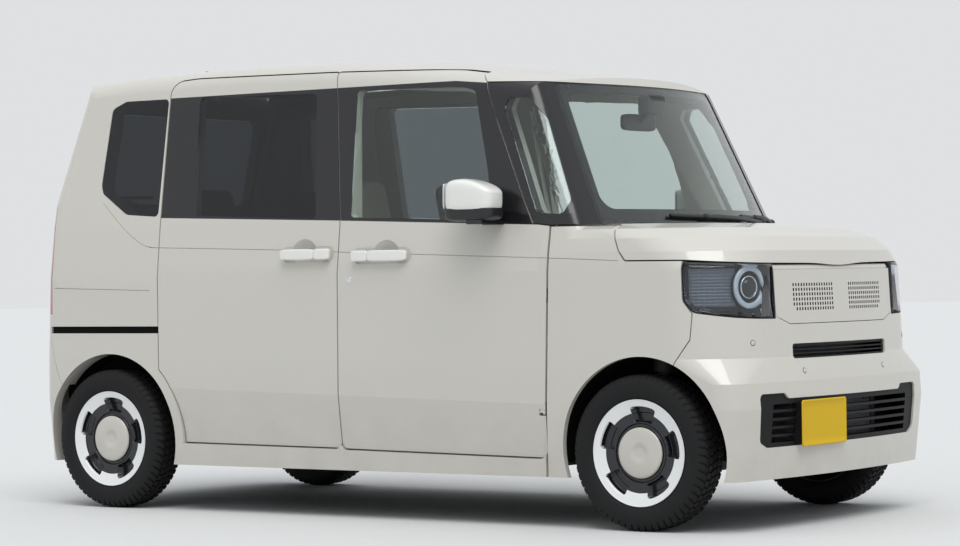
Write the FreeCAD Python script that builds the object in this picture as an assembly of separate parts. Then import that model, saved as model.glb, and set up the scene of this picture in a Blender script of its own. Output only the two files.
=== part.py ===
import FreeCAD, Part
import os
from math import atan2, cos, pi, radians, sin, sqrt, tan

# Small tall five-door car, in millimetres. +X points forward, +Y to the car's left, +Z up.
# The origin lies on the ground, halfway along the body and on its middle plane.
# The right side is modelled and mirrored to the left where the two sides are alike.

V = FreeCAD.Vector
UP = V(0, 0, 1)

# Overall sizes
body_length = 3395.0
body_width = 1475.0
body_height = 1790.0
wheelbase = 2520.0
front_overhang = 464.0
track = 1305.0
nose_x = body_length / 2
tail_x = -body_length / 2
half_width = body_width / 2
front_axle_x = nose_x - front_overhang
rear_axle_x = front_axle_x - wheelbase

# Levels along the side of the body
sill_bottom_z = 183.0
crease_z = 435.0
shoulder_z = 930.0
groove_z = 1018.0
belt_z = 1135.0
glass_foot_z = 1235.0
rail_z = 1645.0
belt_inset = 22.5
rail_inset = 97.5
sill_inset = 16.0

# Wall thicknesses and gaps
door_depth = 42.0
seal_gap = 6.0
roof_depth = 32.0
panel_gap = 5.0
glass_inset = 3.0
glass_thick = 4.5
wall_depth = 78.0
trim_gap = 0.5
hood_depth = 22.0
cantrail_depth = 22.0
fender_gap = 9.0
tailgate_gap = 16.0
quarter_width = 46.0

# Tyres, wheels and wheel arches
tyre_width = 155.0
tyre_radius = 278.5
rim_radius = 178.0
rim_lip_radius = 190.0
arch_radius = 336.0
arch_shift = 22.0
arch_height = 285.0
liner_shift = 13.0
liner_radius = 341.0
liner_thick = 4.0
liner_inner_y = 405.0
hub_radius = 66.0


def box(x0, x1, y0, y1, z0, z1):
    return Part.makeBox(x1 - x0, y1 - y0, z1 - z0, V(x0, y0, z0))


def cylinder(radius, start, end):
    return Part.makeCylinder(radius, (end - start).Length, start, end - start)


def softened_box(x0, x1, y0, y1, z0, z1, radius):
    block = box(x0, x1, y0, y1, z0, z1)
    return block.makeFillet(radius, block.Edges)


def mirrored(shape):
    return shape.mirror(V(0, 0, 0), V(0, 1, 0))


def both_sides(shape):
    return [shape, mirrored(shape)]


def fused(shapes):
    return shapes[0].multiFuse(shapes[1:]).removeSplitter() if len(shapes) > 1 else shapes[0]


def save(name, *shapes):
    solids = [solid for shape in shapes for solid in shape.Solids]
    whole = solids[0] if len(solids) == 1 else Part.makeCompound(solids)
    whole.exportStep("parts/" + name + ".step")
    print(name, len(solids), "solids", round(whole.Volume / 1e6, 3), "litres", whole.isValid())


def side_view(x, z):
    return V(x, 0, z)


def front_view(y, z):
    return V(0, y, z)


def top_view(x, y):
    return V(x, y, 0)


def outline(corners, view):
    # Each corner is (first coordinate, second coordinate, corner radius).
    points = [view(a, b) for a, b, _ in corners]
    count = len(points)
    ends = []
    for i, (_, _, radius) in enumerate(corners):
        here, before, after = points[i], points[i - 1], points[(i + 1) % count]
        back = (before - here).normalize()
        ahead = (after - here).normalize()
        if radius <= 0:
            ends.append((here, here, here))
            continue
        half_turn = back.getAngle(ahead) / 2
        reach = radius / tan(half_turn)
        bisector = (back + ahead).normalize()
        middle = here + bisector * (radius / sin(half_turn) - radius)
        ends.append((here + back * reach, middle, here + ahead * reach))
    edges = []
    for i in range(count):
        first, middle, last = ends[i]
        if (last - first).Length > 1e-6:
            edges.append(Part.Arc(first, middle, last).toShape())
        following = ends[(i + 1) % count][0]
        if (following - last).Length > 1e-6:
            edges.append(Part.LineSegment(last, following).toShape())
    return Part.Wire(edges)


def prism(corners, view, low, high):
    normal = view(1, 0).cross(view(0, 1))
    sign = 1 if normal.x + normal.y + normal.z > 0 else -1
    face = Part.Face(outline(corners, view))
    face.translate(normal * sign * low)
    return face.extrude(normal * sign * (high - low))


def grown_prism(corners, view, gap, low, high):
    normal = view(1, 0).cross(view(0, 1))
    sign = 1 if normal.x + normal.y + normal.z > 0 else -1
    wire = outline(corners, view).makeOffset2D(gap, join=2)
    if Part.Face(wire).Area < Part.Face(outline(corners, view)).Area and gap > 0:
        wire = outline(corners, view).makeOffset2D(-gap, join=2)
    face = Part.Face(wire)
    face.translate(normal * sign * low)
    return face.extrude(normal * sign * (high - low))


# Levels and lines that several pieces share
dash_wall_x = front_axle_x - 221.5
cowl_z = 1062.0

# Outer form of the body. Each level is a plan outline with one shape: end arcs that turn by a fixed angle, corner
# arcs and straight sides. Because the arcs of all levels turn alike, every flank between two levels is a true cone.
front_turn = radians(8.3)
tail_turn = radians(7.2)
screen_turn = radians(21.0)


def end_spans(end_x, corner, half, turn, facing):
    # One end of a level: where the end arc meets the corner arc, where that meets the side, and tangent crossings.
    cy = half - corner
    end_radius = cy / sin(turn) + corner
    cx = end_x - facing * (end_radius - (end_radius - corner) * cos(turn))
    touch = (cx + facing * corner * cos(turn), cy + corner * sin(turn))
    peak = (end_x + facing * end_radius * (1 / cos(turn) - 1), 0.0)
    corner_turn = (pi / 2 - turn) / 2
    crossing = (cx + facing * corner * tan(corner_turn), half)
    return touch, peak, crossing, (cx, half), cos(corner_turn)


def level_spans(z, front_x, front_corner, half, tail_corner, tail_x, inset, turn):
    # Eight spans round the outline, each as its start, tangent crossing (none on a straight side) and weight.
    half -= inset
    front = end_spans(front_x - inset, front_corner - inset, half, turn, 1)
    tail = end_spans(tail_x + inset, tail_corner - inset, half, tail_turn, -1)

    def right(p):
        return V(p[0], -p[1], z)

    def left(p):
        return V(p[0], p[1], z)

    return [
        (right(front[0]), left(front[1]), cos(turn)), (left(front[0]), left(front[2]), front[4]),
        (left(front[3]), None, 1.0), (left(tail[3]), left(tail[2]), tail[4]),
        (left(tail[0]), left(tail[1]), cos(tail_turn)), (right(tail[0]), right(tail[2]), tail[4]),
        (right(tail[3]), None, 1.0), (right(front[3]), right(front[2]), front[4])]


def span_edge(start, crossing, weight, end):
    if crossing is None:
        return Part.LineSegment(start, end).toShape()
    curve = Part.BSplineCurve()
    curve.buildFromPolesMultsKnots([start, crossing, end], [3, 3], [0, 1], False, 2, [1, weight, 1])
    return curve.toShape()


def flank_patch(arcs, weight):
    # The straight-ruled face between two arcs, each given as its start, tangent crossing and end.
    patch = Part.BSplineSurface()
    patch.buildFromPolesMultsKnots([list(pair) for pair in zip(*arcs)], [3, 3], [2, 2], [0, 1], [0, 1], False, False,
                                   2, 1, [[1, 1], [weight, weight], [1, 1]])
    return patch.toShape()


def banked_solid(levels, inset, turn):
    # A solid whose flanks run straight from each level's outline to the next one's.
    rows = [level_spans(*level, inset, turn) for level in levels]
    faces = []
    for low, high in zip(rows[:-1], rows[1:]):
        for i in range(8):
            j = (i + 1) % 8
            a, crossing_a, weight = low[i]
            b, crossing_b, _ = high[i]
            c, d = low[j][0], high[j][0]
            if crossing_a is None:
                faces.append(Part.Face(Part.makePolygon([a, c, d, b, a])))
                continue
            faces.append(flank_patch([(a, crossing_a, c), (b, crossing_b, d)], weight))
    for row in (rows[0], rows[-1]):
        faces.append(Part.Face(Part.Wire([span_edge(*row[i], row[(i + 1) % 8][0]) for i in range(8)])))
    return sewn_solid(faces)


def sewn_solid(faces):
    shell = Part.makeShell(faces)
    shell.sewShape()
    solid = Part.Solid(shell)
    if solid.Volume < 0:
        solid.reverse()
    return solid


# Columns: level, front at the middle, front corner radius, half width, tail corner radius, tail at the middle
tub_levels = [
    (sill_bottom_z, nose_x - 22, 100, half_width - sill_inset, 100, tail_x + 10),
    (crease_z, nose_x, 100, half_width, 100, tail_x),
    (525.0, nose_x - 5, 100, half_width, 100, tail_x),
    (612.0, nose_x - 22, 270, half_width, 100, tail_x + 2),
    (shoulder_z, nose_x - 39, 270, half_width, 100, tail_x + 16),
]
nose_rear_x = 700.0
nose_levels = [
    (shoulder_z, nose_x - 39, 270, half_width, 100, nose_rear_x),
    (990.0, nose_x - 52, 330, half_width - 4, 100, nose_rear_x),
    (1040.0, nose_x - 96, 385, half_width - 11, 100, nose_rear_x),
    (1075.0, nose_x - 185, 430, half_width - 30, 100, nose_rear_x),
    (1094.0, nose_x - 330, 430, half_width - 80, 100, nose_rear_x),
]
screen_foot_x = 1116.0
screen_foot_z = 1104.0
screen_rake = 0.466
cabin_top_z = 1840.0
tailgate_front_x = tail_x + 213.5
cowl_radius = 1850.0
tail_rake = 0.302


def screen_x(z):
    return screen_foot_x - (z - screen_foot_z) * screen_rake


def cabin_half(z):
    # The glasshouse leans in from the belt to the roof rail.
    return half_width - belt_inset - (z - belt_z) * (rail_inset - belt_inset) / (rail_z - belt_z)


def tail_at(z):
    # The tail leans forward above the foot of the rear window.
    return tail_x + 32 + (z - glass_foot_z) * tail_rake


cabin_levels = [
    (shoulder_z, screen_x(shoulder_z), 80, half_width, 100, tail_x + 16),
    (belt_z, screen_x(belt_z), 80, half_width - belt_inset, 92, tail_x + 26),
    (glass_foot_z, screen_x(glass_foot_z), 80, cabin_half(glass_foot_z), 92, tail_at(glass_foot_z)),
    (cabin_top_z, screen_x(cabin_top_z), 80, cabin_half(cabin_top_z), 92, tail_at(cabin_top_z)),
]

# The roof is crowned across, and its top line runs straight between stations on two flat curves that meet at its crest
roof_crest_x = -600.0
roof_front_radius = 7790.0
roof_rear_radius = 16100.0
roof_stations = [-1800.0, -1150.0, roof_crest_x, -235.0, 130.0, 495.0, 860.0, 1250.0]
roof_turn = radians(8.5)
roof_shoulder_radius = 85.0
roof_foot_z = 1400.0


def roof_section(x, inset):
    # Half a section: the crown's peak crossing, its end, the shoulder's crossing, its end, and the flank's foot.
    along = roof_front_radius if x > roof_crest_x else roof_rear_radius
    top_z = body_height - inset - (x - roof_crest_x) ** 2 / (2 * along)
    lean = (rail_inset - belt_inset) / (rail_z - belt_z)
    slope = atan2(lean, 1)
    shoulder = roof_shoulder_radius - inset
    flank_y = cabin_half(0) - (inset + shoulder) / cos(slope)
    turn_share = sin(roof_turn) + lean * cos(roof_turn)
    crown = (flank_y - lean * top_z + shoulder * turn_share) / (turn_share - lean)
    centre_y = (crown - shoulder) * sin(roof_turn)
    centre_z = top_z - crown + (crown - shoulder) * cos(roof_turn)
    reach = shoulder * tan((pi / 2 - slope - roof_turn) / 2)
    end = (centre_y + shoulder * cos(slope), centre_z + shoulder * sin(slope))
    return [V(x, y, z) for y, z in (
        (0.0, top_z - crown + crown / cos(roof_turn)),
        (centre_y + shoulder * sin(roof_turn), centre_z + shoulder * cos(roof_turn)),
        (end[0] - reach * sin(slope), end[1] + reach * cos(slope)), end,
        (cabin_half(roof_foot_z) - inset / cos(slope), roof_foot_z))]


def roof_top_z(x, y):
    peak, crown_end = roof_section(x, 0.0)[:2]
    crown = crown_end.y / sin(roof_turn)
    return peak.z - crown / cos(roof_turn) + sqrt(crown ** 2 - y ** 2)


def roof_loaf(inset):
    # Leaning flanks under the crown, with a round along each shoulder; its ends reach past the screen and the tail.
    slope = atan2(rail_inset - belt_inset, rail_z - belt_z)
    weights = (cos(roof_turn), cos((pi / 2 - slope - roof_turn) / 2))
    rows = [roof_section(x, inset) for x in roof_stations]

    def across(p):
        return V(p.x, -p.y, p.z)

    faces = []
    for back, fore in zip(rows[:-1], rows[1:]):
        faces.append(flank_patch([(across(r[1]), r[0], r[1]) for r in (back, fore)], weights[0]))
        faces.append(flank_patch([(r[1], r[2], r[3]) for r in (back, fore)], weights[1]))
        faces.append(flank_patch([(across(r[1]), across(r[2]), across(r[3])) for r in (back, fore)], weights[1]))
        for corners in ([back[3], fore[3], fore[4], back[4]],):
            faces.append(Part.Face(Part.makePolygon(corners + corners[:1])))
            corners = [across(p) for p in corners]
            faces.append(Part.Face(Part.makePolygon(corners + corners[:1])))
        base = [back[4], fore[4], across(fore[4]), across(back[4]), back[4]]
        faces.append(Part.Face(Part.makePolygon(base)))
    for row in (rows[0], rows[-1]):
        faces.append(Part.Face(Part.Wire([
            span_edge(across(row[1]), row[0], weights[0], row[1]), span_edge(row[1], row[2], weights[1], row[3]),
            Part.makeLine(row[3], row[4]), Part.makeLine(row[4], across(row[4])),
            Part.makeLine(across(row[4]), across(row[3])),
            span_edge(across(row[3]), across(row[2]), weights[1], across(row[1]))])))
    return sewn_solid(faces)


def body_form(inset, roof_inset):
    # The whole outer form, or a smaller one inside it at a wall's depth.
    tub = banked_solid(tub_levels, inset, front_turn)
    nose = banked_solid(nose_levels, inset, front_turn)
    nose.translate(V(0, 0, -inset))
    cabin = banked_solid(cabin_levels, inset, screen_turn)
    lower_cabin = cabin.common(box(tail_x - 50, nose_x, -900, 900, shoulder_z - 10, roof_foot_z + 60))
    upper_cabin = cabin.common(roof_loaf(roof_inset))
    return tub.multiFuse([nose, lower_cabin, upper_cabin]).removeSplitter()


os.makedirs("parts", exist_ok=True)
outer_form = body_form(0.0, 0.0)
glass_front_form = body_form(glass_inset, glass_inset)
glass_back_form = body_form(glass_inset + glass_thick, glass_inset + glass_thick)
thin_form = body_form(hood_depth, hood_depth)
door_back_form = body_form(door_depth, roof_depth)
ring_front_form = body_form(door_depth + seal_gap, roof_depth)
cavity_form = body_form(wall_depth, roof_depth + cantrail_depth)

right_half = box(tail_x - 100, nose_x + 100, -1000, 0, 0, 2000)
thin_shell = outer_form.cut(thin_form)
door_shell = outer_form.cut(door_back_form)
right_door_shell = door_shell.common(right_half)
frame_shell = outer_form.cut(ring_front_form).common(right_half)
full_wall = outer_form.cut(cavity_form).common(right_half)
glass_layer = glass_front_form.cut(glass_back_form)
cover_layer = outer_form.cut(glass_front_form).common(right_half)


def from_nose(corners):
    return [(nose_x - back, z, radius) for back, z, radius in corners]


def from_tail(corners):
    return [(tail_x + ahead, z, radius) for ahead, z, radius in corners]


def from_sides(corners):
    # The left half of an outline in front view, given by its distance in from the body's side, and its mirror image.
    left = [(half_width - inward, z, radius) for inward, z, radius in corners]
    return left + [(-y, z, radius) for y, z, radius in reversed(left)]


# Outlines in side view. Columns: x, z, corner radius
sill_gap_z = 266.0
b_gap_x = -96.0
b_gap_top_x = -162.0
c_gap_x = -1001.0
door_edge_lean = 0.03
door_top = [(537, 1634, 14), (492, 1672, 20), (380, 1688, 500)]
door_front_top = (869.0, 1091.0)


def door_front_x(z):
    return door_front_top[0] + (z - door_front_top[1]) * door_edge_lean


half_gap = panel_gap / 2
front_door_outline = [
    (b_gap_x - 3.5 + half_gap, sill_gap_z, 22), (door_front_x(253), 253, 30), (*door_front_top, 6), (792, 1100, 12),
    (746, 1188, 60), (610, 1469, 300), *door_top, (b_gap_top_x + half_gap, 1703, 8), (b_gap_x + 3.5 + half_gap, belt_z, 600)]
sliding_door_outline = [
    (c_gap_x, 275, 0), (b_gap_x - 3.5 - half_gap, sill_gap_z + 2, 22), (b_gap_x + 3.5 - half_gap, belt_z, 600),
    (b_gap_top_x - half_gap, 1703, 8), (-874, 1714, 500), (-1000, 1706, 60)]
front_window_outline = [
    (-44, 1143, 18), (612, 1118, 45), (584, 1290, 200), (497, 1604, 22), (440, 1618, 60), (-58, 1630, 18)]
sliding_window_outline = [(-826, 1168, 20), (-212, 1142, 18), (-254, 1626, 18), (-846, 1640, 25)]
front_ring_outline = [
    (-40, 360, 60), (790, 350, 120), (805, 1050, 60), (715, 1130, 80), (470, 1600, 60), (-95, 1640, 50), (-45, 1135, 300)]
sliding_ring_outline = [
    (-930, 640, 60), (-820, 560, 60), (-720, 360, 60), (-150, 360, 60), (-150, 1135, 300), (-215, 1640, 50), (-925, 1645, 60)]
quarter_window_outline = from_tail([
    (385.5, 1612, 30), (359.5, 1300, 60), (371.5, 1268, 20), (507.5, 1180, 60), (679.5, 1168, 20),
    (687.5, 1641, 20), (457.5, 1641, 40)])
band_top_front = (800.0, 1622.0)
pillar_outline = [
    (545, 1629, 0), (*band_top_front, 0), (1060, 1096, 0), (873, 1096, 0), (797, 1106, 12), (751, 1190, 60), (615, 1471, 300)]
quarter_light_outline = [
    (652, 1568, 12), (634, 1530, 20), (808, 1140, 30), (924, 1134, 20), (942, 1183, 30), (812, 1486, 80), (742, 1566, 16)]
roof_outline = [
    (tailgate_front_x + tailgate_gap, 1714, 0), (-1000, 1714, 0), (-872, 1719, 500), (b_gap_top_x, 1708, 0), (381, 1693, 500),
    (495, 1677, 20), (542, 1634, 0), (900, 1621, 0), (900, 2000, 0), (tailgate_front_x + tailgate_gap, 2000, 0)]
hood_rear_x = 1062.0
hood_outline = [(hood_rear_x, 1140, 0), (hood_rear_x, 1093, 0)] + from_nose([
    (579.5, 1092, 0), (556.5, 1078, 20), (525.5, 999, 30), (497.5, 963, 14), (269.5, 961, 0),
    (111.5, 950, 60), (45.5, 944, 10), (33.5, 925, 10), (-62.5, 925, 0), (-62.5, 1140, 0)])
lamp_outline = from_nose([
    (269.5, 953, 8), (264.5, 820, 30), (232.5, 776, 30), (113.5, 757, 100), (42.5, 748, 0), (-62.5, 748, 0),
    (-62.5, 940, 0), (45.5, 940, 10), (111.5, 946, 60)])
fender_outline = [(door_front_x(170) + fender_gap, 170, 0), (door_front_x(1088) + fender_gap, 1088, 0)] + from_nose([
    (584.5, 1088, 0), (561.5, 1074, 20), (530.5, 996, 30), (502.5, 958, 14), (273.5, 956, 0), (269.5, 816, 30),
    (236.5, 771, 0), (244.5, 680, 0), (298.5, 603, 0), (397.5, 400, 0), (697.5, 170, 0)])
tail_seam_outline = from_tail([
    (-50, 100, 0), (297.5, 100, 0), (297.5, 400, 0), (172.5, 480, 0), (139.5, 560, 0), (101.5, 690, 10), (-50, 690, 0)])

# Outlines in front view. Columns: distance in from the side, z, corner radius
grille_outline = from_sides([(380.5, 729, 22), (299.5, 757, 22), (299.5, 921, 0)])
slot_outline = from_sides([(385.5, 604, 12), (385.5, 657, 12)])
mouth_outline = from_sides([(197.5, 296, 30), (155.5, 316, 20), (147.5, 486, 20), (297.5, 486, 20), (317.5, 466, 20)])
screen_outline = from_sides([(126.5, 1092, 30), (189.5, 1621, 40)])
tailgate_outline = from_sides([
    (162.5, 486, 40), (137.5, 760, 60), (133.5, 1230, 300), (177.5, 1700, 60), (257.5, 1780, 0)])
tailgate_ring_outline = from_sides([(207.5, 530, 60), (181.5, 1230, 300), (227.5, 1650, 70)])
tailgate_window_outline = from_sides([(197.5, 1240, 40), (232.5, 1610, 50)])
tail_lamp_edge = half_width - 115.5
tail_lamp_front_x = tail_x + 112.5
tail_lamp_outline = [
    (tail_lamp_edge + 200, 780, 0), (tail_lamp_edge + 200, 1228, 0), (tail_lamp_edge, 1228, 12), (tail_lamp_edge, 1000, 0),
    (tail_lamp_edge + 10, 780, 12)]


def side_prism(corners, grow=0.0, low=-1000, high=-300):
    return grown_prism(corners, side_view, grow, low, high) if grow else prism(corners, side_view, low, high)


def tail_prism(corners, grow=0.0):
    # From behind the tail to the tail's inner side.
    return grown_prism(corners, front_view, grow, tail_x - 60, -1300) if grow else prism(corners, front_view, tail_x - 60, -1300)


def nose_prism(corners, grow=0.0, low=1500.0, high=1800.0):
    return grown_prism(corners, front_view, grow, low, high) if grow else prism(corners, front_view, low, high)


def arch_cylinder(axle_x, radius, low=-1000, high=-300):
    centre_x = axle_x + arch_shift
    return cylinder(radius, V(centre_x, low, arch_height), V(centre_x, high, arch_height))


def wheelhouse(axle_x, inner_y, radius=liner_radius + liner_thick):
    # The room that a wheelhouse takes, both sides, outboard of its inner wall.
    centre_x = axle_x + liner_shift
    drum = cylinder(radius, V(centre_x, -1000, arch_height), V(centre_x, -inner_y, arch_height))
    return both_sides(drum)


def cut_by(shape, tools):
    for tool in tools:
        shape = shape.cut(tool)
    return shape


# Hinges: a pin on two cheeks of the body passes through a lug of the moving panel
hinge_clearance = 0.4


def hinge(centre, along, half_length, lug_radius, pin_radius, lug_arm, cheek_arm, cheek_thick=5.0):
    # Lug with its arm, and pin with its cheeks. The arms are points that the lug and the cheeks reach to.
    along = V(along).normalize()

    def plate(reach, low, high, radius):
        # A flat plate from the pin to the reached point, round about the pin.
        side = reach - centre
        side = side - along * side.dot(along)
        width = along.cross(side).normalize() * radius
        foot = centre + along * low
        face = Part.Face(Part.makePolygon([foot + width, foot + side + width, foot + side - width, foot - width, foot + width]))
        return face.extrude(along * (high - low)).fuse(Part.makeCylinder(radius, high - low, foot, along))

    lug = plate(lug_arm, -half_length, half_length, lug_radius)
    end = half_length + 0.6
    lug = lug.cut(Part.makeCylinder(pin_radius + hinge_clearance, 4 * end, centre - along * 2 * end, along))
    pin = Part.makeCylinder(pin_radius, 2 * (end + cheek_thick), centre - along * (end + cheek_thick), along)
    cheeks = [plate(cheek_arm, end, end + cheek_thick, lug_radius - 1), plate(cheek_arm, -end - cheek_thick, -end, lug_radius - 1)]
    return lug, fused([pin] + cheeks)


# Doors
sides = [("right", -1), ("left", 1)]


def placed(shape, sign):
    return mirrored(shape) if sign > 0 else shape


cover_band = side_prism([(-1100, 1166, 0), (-1000, 1163, 0), (-112, 1133, 0), (792, 1098, 0), (900, 1094, 0),
                         (900, 1618, 0), (*band_top_front, 0), (545, 1629, 0), (400, 1643, 0), (-1100, 1643, 0)])
front_door = right_door_shell.common(side_prism(front_door_outline)).cut(side_prism(front_window_outline))
front_cover = cover_layer.common(cover_band).common(side_prism(front_door_outline)).cut(side_prism(front_window_outline))
door_hinge_x = door_front_x(0) - 8
door_hinge_y = half_width - 9
door_hinge_levels = [430.0, 840.0]
door_hinge_axis = V(door_edge_lean, 0, 1)
door_hinge_pins = []
front_door = front_door.cut(front_cover)
for z in door_hinge_levels:
    centre = V(door_hinge_x + z * door_edge_lean, -door_hinge_y, z)
    lug, pin = hinge(centre, door_hinge_axis, 14, 6, 3.2, centre + V(-22, 4, 0), centre + V(0, door_depth + 4, 0))
    pocket = box(centre.x - 20, centre.x + 40, -door_hinge_y - 6.3, -half_width + door_depth + 2, z - 24, z + 24)
    front_door = front_door.cut(pocket).fuse(lug)
    door_hinge_pins.append(pin)
sliding_door = right_door_shell.common(side_prism(sliding_door_outline))
sliding_door = sliding_door.cut(arch_cylinder(rear_axle_x, arch_radius + quarter_width)).cut(side_prism(sliding_window_outline))
sliding_cover = cover_layer.common(cover_band).common(side_prism(sliding_door_outline)).cut(side_prism(sliding_window_outline))
sliding_door = sliding_door.cut(sliding_cover)
seal_layer = door_back_form.cut(ring_front_form).common(right_half)
roller_arms = [box(x - 30, x + 30, -1000, -300, z - 25, z + 25) for x, z in ((-180, 315), (-185, 1672), (c_gap_x + 34, 718))]
sliding_door = fused([sliding_door] + [seal_layer.common(arm) for arm in roller_arms])
front_door_glass = glass_layer.common(side_prism(front_window_outline, -trim_gap))
sliding_door_glass = glass_layer.common(side_prism(sliding_window_outline, -trim_gap))
quarter_glass = glass_layer.common(side_prism(quarter_window_outline, -trim_gap))
quarter_light = glass_layer.common(side_prism(quarter_light_outline, -trim_gap))

# Door mirrors and handles
mirror_shell = softened_box(500, 690, -880, -748, 1118, 1272, 42)
mirror_arm = fused([box(600, 668, -760, -690, 1100, 1117.7), box(600, 668, -860, -716, 1102, 1117.7)]).cut(outer_form)
handle_z = 996.0


def door_handle(x0, x1, z):
    bar = softened_box(x0, x1, -half_width - 25, -half_width - 7, z - 21, z + 21, 7)
    posts = [box(x, x + 26, -half_width - 13, -700, z - 12, z + 12) for x in (x0 + 14, x1 - 40)]
    return fused([bar] + posts).cut(outer_form)


front_handle = door_handle(-15, 244, handle_z)
sliding_handle = door_handle(-361, -121, handle_z + 10)
for side, sign in sides:
    save("front_door_" + side, placed(front_door, sign))
    save("front_door_glass_" + side, placed(front_door_glass, sign))
    save("front_door_trim_" + side, placed(front_cover, sign), placed(mirror_arm, sign))
    save("mirror_and_handle_" + side, placed(mirror_shell, sign), placed(front_handle, sign))
    save("sliding_door_" + side, placed(sliding_door, sign))
save("sliding_door_glass", *both_sides(sliding_door_glass))
save("pillar_covers", *both_sides(sliding_cover))
save("sliding_door_handles", *both_sides(sliding_handle))
save("side_glass", *both_sides(quarter_glass), *both_sides(quarter_light))

# Windscreen: a rebate in the frames round it and an opening behind it, with a lip between
screen_opening = nose_prism(screen_outline, -20, 500, 1400)
screen_rebate = nose_prism(screen_outline, 2.5, 500, 1400).cut(glass_back_form)
save("windscreen", glass_layer.common(nose_prism(screen_outline, 0, 500, 1400)))

# Body side: the full wall, with the doors' room taken out of its outer layer
tailgate_edge = tailgate_front_x + panel_gap
sliding_door_room = side_prism(sliding_door_outline, panel_gap).cut(
    arch_cylinder(rear_axle_x, arch_radius + quarter_width - panel_gap))
door_room = side_prism(front_door_outline, panel_gap).fuse(sliding_door_room)
front_corner_room = side_prism([
    (872, 1094, 0), (797, 1103, 12), (751, 1190, 60), (615, 1471, 300), (541, 1631, 0), (541, 1900, 0),
    (1200, 1900, 0), (1200, 1094, 0)])
outer_rooms = door_room.multiFuse([
    front_corner_room, side_prism(roof_outline), grown_prism(tailgate_outline, front_view, panel_gap, tail_x - 60, tailgate_edge),
    ]).cut(ring_front_form).fuse(box(tail_x - 60, tailgate_edge + 11, -1000, 1000, 1700, 1900))
tail_lamp_room = grown_prism(tail_lamp_outline, front_view, 2.0, tail_x - 60, tail_lamp_front_x + 2).cut(door_back_form)
pillar_front_x = door_front_x(600)
body_side = full_wall.common(box(tail_x - 50, pillar_front_x, -1000, -545, 170, 1900))
fender_seam_room = side_prism([
    (door_front_x(170) - 1, 170, 0), (door_front_x(1094) - 1, 1094, 0), (900, 1094, 0), (900, 170, 0)]).cut(ring_front_form)
rail_slot = box(tail_x + 107, c_gap_x - 4, -1000, -half_width + 30, 704, 732)
body_side = cut_by(body_side, [
    outer_rooms, side_prism(front_ring_outline), side_prism(sliding_ring_outline), side_prism(quarter_window_outline),
    side_prism(quarter_light_outline), arch_cylinder(rear_axle_x, arch_radius), screen_opening, screen_rebate,
    side_prism(tail_seam_outline, 2.0), tail_prism(tailgate_ring_outline), mirrored(tail_lamp_room), rail_slot,
    fender_seam_room])
body_side = fused([max(body_side.Solids, key=lambda solid: solid.Volume)] + door_hinge_pins)
for side, sign in sides:
    save("body_side_" + side, placed(body_side, sign))
tail_lamp = door_shell.common(prism(tail_lamp_outline, front_view, tail_x - 60, tail_lamp_front_x))
save("tail_lamps", *both_sides(tail_lamp))

# Roof panel and tailgate with its hinges at the roof's rear edge
hinge_x = tailgate_front_x - 4
hinge_y = 200.0
hinge_z = roof_top_z(hinge_x, hinge_y) - 11
roof_panel = cut_by(door_shell.common(side_prism(roof_outline, 0, -1000, 1000)), [screen_rebate, screen_opening])
tailgate_limits = prism(tailgate_outline, front_view, tail_x - 60, tailgate_front_x)
tailgate = door_shell.common(tailgate_limits).cut(tail_prism(tailgate_window_outline))
for sign in (-1, 1):
    centre = V(hinge_x, sign * hinge_y, hinge_z)
    lug, pin = hinge(centre, V(0, 1, 0), 16, 7, 3.5, centre + V(-26, 0, -12), centre + V(38, 0, -6))
    tailgate = tailgate.cut(box(hinge_x - 18, hinge_x + 40, centre.y - 30, centre.y + 30, hinge_z - 60, hinge_z + 40)).fuse(lug)
    roof_panel = roof_panel.fuse(pin)
save("roof_panel", roof_panel)
save("tailgate", tailgate)
save("tailgate_glass", glass_layer.common(tail_prism(tailgate_window_outline, -trim_gap)))
rear_bumper = cut_by(door_shell.common(side_prism(tail_seam_outline, 0, -1000, 1000)), [
    grown_prism(tailgate_outline, front_view, panel_gap, tail_x - 60, tailgate_edge),
    arch_cylinder(rear_axle_x, arch_radius, -1000, 1000)])
save("rear_bumper", rear_bumper)

# Black frames between the doors and the windscreen
corner_frame = cut_by(frame_shell.common(side_prism(pillar_outline)), [
    screen_rebate, screen_opening, side_prism(quarter_light_outline)])
save("corner_frames", *both_sides(corner_frame))

# Cowl between the hood and the windscreen, and the hood with its hinges
cowl_half = half_width - 125.5
cowl_line = Part.makeCylinder(cowl_radius + 28, 400, V(screen_foot_x - cowl_radius, 0, 900))
cowl = box(dash_wall_x, screen_foot_x + 30, -cowl_half, cowl_half, cowl_z, cowl_z + 22)
cowl = cowl.common(Part.makeCylinder(cowl_radius + 23, 400, V(screen_foot_x - cowl_radius, 0, 900)))
hood_limits = side_prism(hood_outline, 0, -1000, 1000).fuse(
    box(hood_rear_x, nose_x - 540, 5 - cowl_half, cowl_half - 5, cowl_z, 1140))
hood = thin_shell.common(hood_limits)
hood = hood.cut(cowl_line)
hood_hinge = V(hood_rear_x - 14, -540, cowl_z + 17)
cowl_pins = []
for sign in (-1, 1):
    centre = V(hood_hinge.x, sign * hood_hinge.y, hood_hinge.z)
    lug, pin = hinge(centre, V(0, 1, 0), 14, 8, 4, centre + V(30, 0, -4), centre + V(0, 0, -17))
    cowl = cowl.cut(box(centre.x - 12, centre.x + 60, centre.y - 25, centre.y + 25, 1000, 1200))
    hood = hood.fuse(lug)
    cowl_pins.append(pin.fuse(box(centre.x - 30, centre.x + 10, centre.y - 30, centre.y + 30, cowl_z - 12, cowl_z)))
save("hood", hood)
save("cowl", fused([cowl] + cowl_pins))

# Fenders, front bumper, grille panel and lamps
fender = cut_by(thin_shell.common(side_prism(fender_outline)), [
    arch_cylinder(front_axle_x, arch_radius), box(0, nose_x - 500, -cowl_half, 0, 900, 1200)])
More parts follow.
